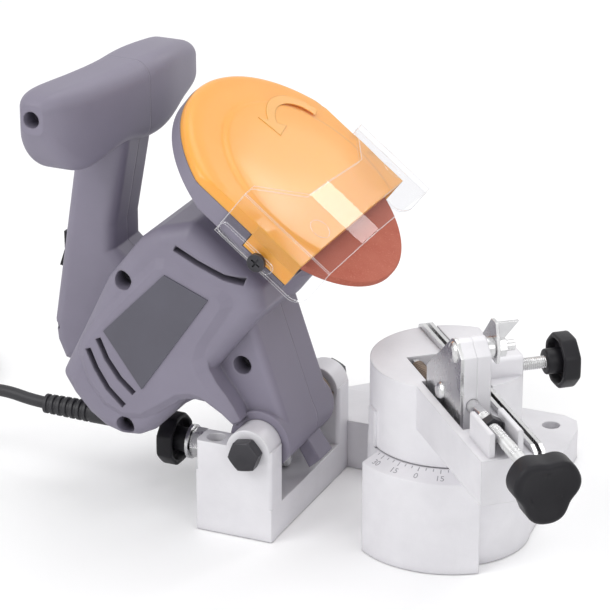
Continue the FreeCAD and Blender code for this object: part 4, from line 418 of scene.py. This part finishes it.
def readLine(points):  # points along a smooth spline through the route
    curve = bpy.data.curves.new("leadRoute", "CURVE")
    curve.dimensions = "3D"
    curve.resolution_u = 6
    spline = curve.splines.new("NURBS")
    spline.points.add(len(points) - 1)
    for handle, point in zip(spline.points, points):
        handle.co = (*point, 1.0)
    spline.order_u = 3
    spline.use_endpoint_u = True
    route = bpy.data.objects.new("leadRoute", curve)
    scene.collection.objects.link(route)
    bpy.context.view_layer.update()
    mesh = bpy.data.meshes.new_from_object(route)
    line = [vertex.co.copy() for vertex in mesh.vertices]
    bpy.data.meshes.remove(mesh)
    bpy.data.objects.remove(route)
    bpy.data.curves.remove(curve)
    return line


def sweepTube(bm, line, radius, sides):  # a round tube along a line, in metres
    side = Vector((0, 1, 0))
    rings = []
    for index, point in enumerate(line):
        way = (line[min(index + 1, len(line) - 1)] - line[max(index - 1, 0)]).normalized()
        side = (side - way * side.dot(way)).normalized()
        up = way.cross(side)
        rings.append([point / mm + (side * math.cos(turn) + up * math.sin(turn)) * (radius / mm)
                      for turn in (2 * math.pi * step / sides for step in range(sides))])
    skinRings(bm, rings)


leadLine = readLine(leadPoints())
leadMesh = bmesh.new()
sweepTube(leadMesh, leadLine, lead["thick"] * mm / 2, lead["sides"])
leadPiece = addPiece("mainsLead", leadMesh, Matrix.Identity(4), finishes["leadRubber"], None,
                     ("cord_lead", "cord_coil"), 60)
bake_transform(leadPiece)

# threaded screws
screwThreads = {
    "clampThread": {"space": tableSpace, "from": (21, 3.0, 90), "way": (0, 1, 0), "length": 46.0,
                    "radius": 3.0, "pitch": 1.0, "plain": 0.0, "body": "clamp", "node": "clamp_screw"},
    "stopThread": {"space": tableSpace, "from": (59, -14.4, 94.6), "way": (1, 0, 0), "length": 94.0,
                   "radius": 3.0, "pitch": 1.0, "plain": 21.0, "body": "stop", "node": "stop_rod"},
    "depthThread": {"space": baseSpace, "from": (-82, 0, 21), "way": (-1, 0, 0), "length": 63.5,
                    "radius": 4.0, "pitch": 1.25, "plain": 0.0, "body": "depth", "node": "depth_screw"},
}


def threadRings(spec, count=28, perPitch=8):
    depth = 0.55 * spec["pitch"]
    rows = int(spec["length"] / spec["pitch"] * perPitch)
    rings = []
    for row in range(rows + 1):
        height = spec["length"] * row / rows
        fade = min(1.0, max(0.0, (height - spec["plain"]) / spec["pitch"])) if spec["plain"] else 1.0
        toEnd = min(height, spec["length"] - height)
        chamfer = max(0.0, 0.8 - toEnd) * 0.8

        def reach(angle):
            phase = (height / spec["pitch"] - angle / (2 * math.pi)) % 1.0
            valley = min(1.0, max(0.0, (1 - abs(2 * phase - 1) - 0.1) / 0.75))
            return min(spec["radius"] - depth * fade * valley, spec["radius"] - chamfer)

        rings.append(ringAt(height, reach, count))
    return rings


for name, spec in screwThreads.items():
    bm = bmesh.new()
    skinRings(bm, threadRings(spec))
    space = along(spec["space"], spec["from"], spec["way"])
    addPiece(name, bm, space, finishes["zincSteel"], spec["body"], (spec["node"],), 60)
print("screw threads:", len(screwThreads))


def roundUnder(low, radius, outline, count, steps=(0, 30, 60, 90)):  # rings round a lower edge
    leans = [math.radians(step) for step in steps]
    return [ringAt(low + radius - radius * math.cos(lean), outline(radius - radius * math.sin(lean)), count)
            for lean in leans]


def roundOver(high, radius, outline, count, steps=(0, 30, 60, 90)):  # rings round an upper edge
    leans = [math.radians(step) for step in steps]
    return [ringAt(high - radius + radius * math.sin(lean), outline(radius - radius * math.cos(lean)), count)
            for lean in leans]


# eight-sided knobs with a hollow back round their hub
knob = {"flats": 25.0, "corners": 1.062, "hub": 6.0, "hubLength": 5.0, "grip": 8.5, "under": 1.0, "over": 1.4,
        "count": 96}
knobPlaces = {
    "clampGrip": {"space": along(tableSpace, (21, 37.5, 90), (0, 1, 0)), "body": "clamp",
                  "node": "clamp_knob", "hole": 3.1},
    "depthGrip": {"space": along(baseSpace, (-134, 0, 21), (-1, 0, 0)), "body": "depth",
                  "node": "depth_knob", "hole": 4.1},
}


def softOctagon(shrink):
    def reach(angle):
        side = knob["flats"] / 2 / math.cos((angle + math.pi / 8) % (math.pi / 4) - math.pi / 8)
        cap = knob["flats"] / 2 * knob["corners"]
        return (side ** -24 + cap ** -24) ** (-1 / 24) - shrink
    return reach


def knobRings(hole):
    count, low, high = knob["count"], knob["hubLength"], knob["hubLength"] + knob["grip"]
    hub = knob["hub"]
    rings = [ringAt(6.0, hole, count), ringAt(0.3, hole, count), ringAt(0.0, hole + 0.3, count)]
    rings += [ringAt(0.0, hub - 0.6, count), ringAt(0.2, hub - 0.2, count), ringAt(0.6, hub, count)]
    rings += [ringAt(low + 3.6, hub, count), ringAt(low + 4.0, hub + 0.5, count)]
    rings += [ringAt(low + 4.0, 9.8, count), ringAt(low + 0.5, 10.5, count)]
    rings.append(ringAt(low, softOctagon(1.5), count))
    rings += roundUnder(low, knob["under"], softOctagon, count)
    rings += roundOver(high, knob["over"], softOctagon, count)
    rings += [ringAt(high - 0.1, 8.5, count), ringAt(high - 0.5, 6.0, count), ringAt(high - 0.6, 1.0, count)]
    return rings


for name, spec in knobPlaces.items():
    bm = bmesh.new()
    skinRings(bm, knobRings(spec["hole"]))
    addPiece(name, bm, spec["space"], finishes["blackKnob"], spec["body"], (spec["node"],), 40)

# three-lobed star knob with a dished face
star = {"radius": 15.6, "waist": 12.4, "start": 141.0, "hub": 7.0, "hubLength": 5.0, "hole": 3.05,
        "length": 12.0, "under": 1.6, "over": 2.2, "count": 144, "across": -14.4, "up": 94.6}


def starReach(shrink):
    def reach(angle):
        swell = 1 - ((1 + math.cos(3 * (angle - math.pi / 2))) / 2) ** 2
        return star["waist"] + (star["radius"] - star["waist"]) * swell - shrink
    return reach


def starRings():
    count, low, high = star["count"], star["hubLength"], star["hubLength"] + star["length"]
    hub = star["hub"]
    rings = [ringAt(0.0, star["hole"], count), ringAt(0.0, hub - 0.5, count), ringAt(0.5, hub, count)]
    rings += [ringAt(low - 0.6, hub, count), ringAt(low, hub + 0.6, count), ringAt(low, starReach(2.0), count)]
    rings += roundUnder(low, star["under"], starReach, count)
    rings += roundOver(high, star["over"], starReach, count, (0, 22, 45, 67, 90))
    rings += [ringAt(high - 0.5, starReach(4.0), count), ringAt(high - 1.7, 7.5, count)]
    rings += [ringAt(high - 2.4, 3.5, count), ringAt(high - 2.6, 0.6, count)]
    return rings


bm = bmesh.new()
# the lobes are drawn in the plane across the rod: local X is sideways and local Y is up
starSpace = tableSpace @ Matrix(((0, 0, 1, star["start"] * mm), (1, 0, 0, star["across"] * mm),
                                 (0, 1, 0, star["up"] * mm), (0, 0, 0, 1)))
skinRings(bm, starRings())
addPiece("starGrip", bm, starSpace, finishes["blackKnob"], "stop", ("star_knob",), 40)
print("knobs: 3")

# hexagon heads and nuts with turned chamfers
hexes = {
    "pivotBolt": {"space": along(baseSpace, (-82.4, -46.7, 44.5), (0, -1, 0)), "flats": 13.7, "high": 6.4,
                  "turn": 10, "shank": (4.0, 103.4), "node": "pivot_bolt", "body": "base",
                  "slot": "blackened", "look": "blackSteel"},
    "pivotNut": {"space": along(baseSpace, (-82.4, 46.7, 44.5), (0, 1, 0)), "flats": 13.7, "high": 8.0,
                 "turn": 25, "hole": 4.05, "node": "pivot_nut", "body": "base",
                 "slot": "blackened", "look": "blackSteel"},
    "depthNut": {"space": along(baseSpace, (-132.34, 0, 21), (1, 0, 0)), "flats": 13.0, "high": 6.5,
                 "turn": 0, "hole": 4.05, "node": "depth_nut", "body": "depth",
                 "slot": "steel", "look": "zincSteel"},
}


def hexReach(flats, turn, cap):
    def reach(angle):
        side = flats / 2 / math.cos((angle - math.radians(turn)) % (math.pi / 3) - math.pi / 6)
        return min(side, cap)
    return reach


def hexRings(spec, count=72):
    half, high = spec["flats"] / 2, spec["high"]
    rings = []
    for step in range(6):
        cap = half * (0.95 + 0.04 * step)
        rings.append(ringAt(0.14 * step, hexReach(spec["flats"], spec["turn"], cap), count))
    for step in range(6):
        cap = half * (1.17 - 0.046 * step)
        rings.append(ringAt(high - 0.75 + 0.15 * step, hexReach(spec["flats"], spec["turn"], cap), count))
    if "hole" in spec:
        hole = spec["hole"]
        rings = [ringAt(0.5, hole, count), ringAt(0.0, hole + 0.5, count)] + rings
        rings += [ringAt(high, hole + 0.5, count), ringAt(high - 0.5, hole, count), ringAt(0.5, hole, count)]
    else:
        radius, reach = spec["shank"]
        shank = [ringAt(-reach, radius - 0.6, count), ringAt(0.6 - reach, radius, count)]
        shank.append(ringAt(0.0, radius, count))
        rings = shank + rings
    return rings


for name, spec in hexes.items():
    bm = bmesh.new()
    solid = "hole" not in spec
    skinRings(bm, hexRings(spec), solid, solid)
    bmesh.ops.remove_doubles(bm, verts=bm.verts, dist=1e-7)
    addPiece(name, bm, spec["space"], finishes[spec["look"]], spec["body"], (spec["node"],), 30)
print("hexagons:", len(hexes))

# swivel scale on the sloping rim of the drum
dial = {"top": (38.5, 49.3), "foot": (46.8, 45.3), "step": 5, "longEvery": 15, "reach": 35,
        "numbers": (-30, -15, 0, 15, 30), "size": 4.3, "numberAt": 5.6, "tickFrom": 0.3, "long": 2.3,
        "short": 1.4, "tickWide": 0.42, "sunk": 0.08, "proud": 0.05}


def onDial(angle, down, lift):  # a point on the slope: degrees from the front, mm down it, mm off it
    fall = Vector((dial["foot"][0] - dial["top"][0], dial["foot"][1] - dial["top"][1]))
    fall.normalize()
    out = Vector((-fall.y, fall.x))
    radius = dial["top"][0] + fall.x * down + out.x * lift
    turn = math.radians(angle)
    height = dial["top"][1] + fall.y * down + out.y * lift
    return (radius * math.sin(turn), -radius * math.cos(turn), height)


def addTicks(bm):
    half = math.degrees(dial["tickWide"] / 2 / dial["top"][0])
    for angle in range(-dial["reach"], dial["reach"] + 1, dial["step"]):
        start = dial["tickFrom"]
        end = start + (dial["long"] if angle % dial["longEvery"] == 0 else dial["short"])
        corners = ((angle - half, start), (angle + half, start), (angle + half, end), (angle - half, end))
        lifts = (-dial["sunk"], dial["proud"])
        skinRings(bm, [[onDial(*corner, lift) for corner in corners] for lift in lifts])


def addNumber(bm, value):
    text = bpy.data.curves.new("dialNumber", "FONT")
    text.body = str(abs(value))
    text.size = dial["size"]
    text.align_x, text.align_y = "CENTER", "CENTER"
    text.extrude = dial["proud"]
    text.resolution_u = 4
    letter = bpy.data.objects.new("dialNumber", text)
    scene.collection.objects.link(letter)
    bpy.context.view_layer.update()
    mesh = bpy.data.meshes.new_from_object(letter)
    radius = (dial["top"][0] + dial["foot"][0]) / 2
    for vertex in mesh.vertices:
        spot = vertex.co
        angle = value + math.degrees(spot.x / radius)
        vertex.co = Vector(onDial(angle, dial["numberAt"] - spot.y, spot.z)) * mm
    bm.from_mesh(mesh)
    bpy.data.objects.remove(letter)
    bpy.data.curves.remove(text)
    bpy.data.meshes.remove(mesh)


bm = bmesh.new()
addTicks(bm)
for value in dial["numbers"]:
    addNumber(bm, value)
# the ticks and numbers are drawn in a darker grey, painted shade of the engraving
addPiece("dialMarks", bm, baseSpace, finishes["engravingShade"], "base")
print("dial marks: scale to %d degrees" % dial["reach"])

# moulded front cover: a crowned face with a raised middle, cut off below and flat beside the shield
cover = {"axis": 62.3, "edge": 37.0, "flat": 60.2, "wall": 2.0, "count": 128,
         "inside": [(0.6, 99.5), (65.0, 99.5), (65.0, 96.05)],
         "outside": [(69.6, 96.05), (69.6, 98.0), (69.3, 99.2), (68.5, 100.3), (67.2, 101.1), (65.4, 101.6),
                     (60.0, 102.0), (52.5, 102.5), (51.0, 102.65), (50.0, 103.0), (49.0, 103.45),
                     (47.6, 103.65), (30.0, 103.75), (0.6, 103.8)],
         "tab": {"u": (88.8, 101.0), "y": (58.3, 60.3), "w": (37.0, 63.0)}}


def coverRing(radius, forward, flat):
    ring = []
    for step in range(cover["count"]):
        angle = 2 * math.pi * step / cover["count"]
        sideways = max(-flat, min(flat, radius * math.cos(angle)))
        ring.append((forward, sideways, cover["axis"] + radius * math.sin(angle)))
    return ring


def addBlock(bm, low, high):
    corners = [(low[0], low[1]), (high[0], low[1]), (high[0], high[1]), (low[0], high[1])]
    skinRings(bm, [[(x, y, z) for x, y in corners] for z in (low[2], high[2])])


bm = bmesh.new()
rings = [coverRing(radius, forward, cover["flat"] - cover["wall"]) for radius, forward in cover["inside"]]
rings += [coverRing(radius, forward, cover["flat"]) for radius, forward in cover["outside"]]
skinRings(bm, rings)
sliced = bmesh.ops.bisect_plane(bm, geom=bm.verts[:] + bm.edges[:] + bm.faces[:],
                                plane_co=(0, 0, cover["edge"] * mm), plane_no=(0, 0, -1), clear_outer=True)
cutEdges = [part for part in sliced["geom_cut"] if isinstance(part, bmesh.types.BMEdge)]
bmesh.ops.edgeloop_fill(bm, edges=cutEdges)
tab = cover["tab"]
for sign in (-1, 1):
    near, far = sorted((sign * tab["y"][0], sign * tab["y"][1]))
    addBlock(bm, (tab["u"][0], near, tab["w"][0]), (tab["u"][1], far, tab["w"][1]))
addPiece("frontCover", bm, headSpace, finishes["orangeCover"], "head", ("guard_cover",), 40)

# arrow for the way the disc turns, raised on the cover
arrow = {"middle": (27.0, 84.0), "radius": 20.0, "half": 2.6, "from": 12.0, "to": 138.0, "head": 26.0,
         "wide": 8.5, "low": 103.6, "high": 103.95, "steps": 20}


def arrowOutline():
    def spot(angle, radius):
        turn = math.radians(angle)
        return (arrow["middle"][0] + radius * math.cos(turn), arrow["middle"][1] + radius * math.sin(turn))

    sweep = arrow["to"] - arrow["from"]
    span = [arrow["from"] + sweep * step / arrow["steps"] for step in range(arrow["steps"] + 1)]
    outer = [spot(angle, arrow["radius"] + arrow["half"]) for angle in span]
    inner = [spot(angle, arrow["radius"] - arrow["half"]) for angle in reversed(span)]
    tip = [spot(arrow["to"], arrow["radius"] + arrow["wide"]),
           spot(arrow["to"] + arrow["head"], arrow["radius"]),
           spot(arrow["to"], arrow["radius"] - arrow["wide"])]
    return outer + tip + inner


bm = bmesh.new()
skinRings(bm, [[(forward, y, w) for y, w in arrowOutline()] for forward in (arrow["low"], arrow["high"])])
addPiece("turnArrow", bm, headSpace, finishes["orangeCover"], "head")

# round moulding marks on the front of the clear shield
marks = {"near": {"at": (113.3, -45.0, 43.0), "way": (0.9918, -0.128, 0)},
         "far": {"at": (110.4, 45.0, 43.0), "way": (0.9826, 0.186, 0)}}
markProfile = ((4.85, 0.0), (4.85, 0.1), (5.1, 0.1), (5.1, 0.0), (4.85, 0.0))  # radius and height
for side, spec in marks.items():
    bm = bmesh.new()
    skinRings(bm, [ringAt(height, radius, 48) for radius, height in markProfile], False, False)
    bmesh.ops.remove_doubles(bm, verts=bm.verts, dist=1e-7)
    space = along(headSpace, spec["at"], spec["way"])
    addPiece(side + "Mark", bm, space, finishes["clearShield"], "shield")
print("cover, arrow and shield marks")

# camera at the photograph's angle
view = {"place": (0.569437, -1.199044, 0.661262), "azimuth": 23.62, "elevation": 22.46, "lens": 184.4026,
        "sensor": 36.0, "clipEnd": 30.0}


def addCamera():
    data = bpy.data.cameras.new("bench")
    data.sensor_width = view["sensor"]
    data.lens = view["lens"]
    data.clip_end = view["clipEnd"]
    camera = bpy.data.objects.new("bench", data)
    turn, lift = math.radians(view["azimuth"]), math.radians(view["elevation"])
    right = Vector((math.cos(turn), math.sin(turn), 0))
    back = Vector((math.sin(turn) * math.cos(lift), -math.cos(turn) * math.cos(lift), math.sin(lift)))
    up = back.cross(right)
    camera.matrix_world = Matrix.Translation(view["place"]) @ Matrix((right, up, back)).transposed().to_4x4()
    scene.collection.objects.link(camera)
    scene.camera = camera


addCamera()

# floor, sky and lamps
studio = {"floor": 4.0, "floorAt": (0.05, 0.05, -0.0004), "floorColour": (0.93, 0.93, 0.935, 1),
          "floorRough": 0.7, "floorGlow": 0.1, "sky": 0.58, "skyInGloss": 0.8, "aim": (0.05, 0.05, 0.1),
          "lamps": {"key": ((-0.9, -1.3, 1.5), 1.2, 17.0), "fill": ((1.3, -0.9, 0.9), 0.9, 5.0),
                    "top": ((0.1, 0.5, 1.6), 1.1, 7.0), "rim": ((0.495, 1.242, 0.909), 0.24, 1.9)}}


def addFloor():
    half = studio["floor"]
    mesh = bpy.data.meshes.new("floor")
    corners = [(-half, -half, 0), (half, -half, 0), (half, half, 0), (-half, half, 0)]
    mesh.from_pydata(corners, [], [(0, 1, 2, 3)])
    floor = bpy.data.objects.new("floor", mesh)
    floor.location = studio["floorAt"]
    scene.collection.objects.link(floor)
    material = bpy.data.materials.new("paleFloor")
    material.use_nodes = True
    tree = material.node_tree
    shader = tree.nodes["Principled BSDF"]
    shader.inputs["Base Color"].default_value = studio["floorColour"]
    shader.inputs["Roughness"].default_value = studio["floorRough"]
    shader.inputs["Emission Color"].default_value = (1, 1, 1, 1)
    path = tree.nodes.new("ShaderNodeLightPath")
    tree.links.new(mathNode(tree, "MULTIPLY", path.outputs["Is Camera Ray"], studio["floorGlow"]),
                   shader.inputs["Emission Strength"])
    mesh.materials.append(material)


def addSky():
    world = bpy.data.worlds.new("studio")
    scene.world = world
    world.use_nodes = True
    tree = world.node_tree
    shader = tree.nodes["Background"]
    path = tree.nodes.new("ShaderNodeLightPath")
    shown = mathNode(tree, "MAXIMUM", path.outputs["Is Camera Ray"], path.outputs["Is Transmission Ray"])
    glossy = mathNode(tree, "MULTIPLY", path.outputs["Is Glossy Ray"], studio["skyInGloss"])
    shown = mathNode(tree, "MAXIMUM", shown, glossy)
    shader.inputs["Color"].default_value = (1, 1, 1, 1)
    tree.links.new(rangeNode(tree, shown, 0.0, 1.0, studio["sky"], 1.0), shader.inputs["Strength"])


def addLamps():
    for name, (place, size, power) in studio["lamps"].items():
        data = bpy.data.lights.new(name, "AREA")
        data.size = size
        data.energy = power
        lamp = bpy.data.objects.new(name, data)
        lamp.location = place
        lamp.rotation_euler = (Vector(studio["aim"]) - Vector(place)).to_track_quat("-Z", "Y").to_euler()
        scene.collection.objects.link(lamp)


addFloor()
addSky()
addLamps()
print("studio ready")
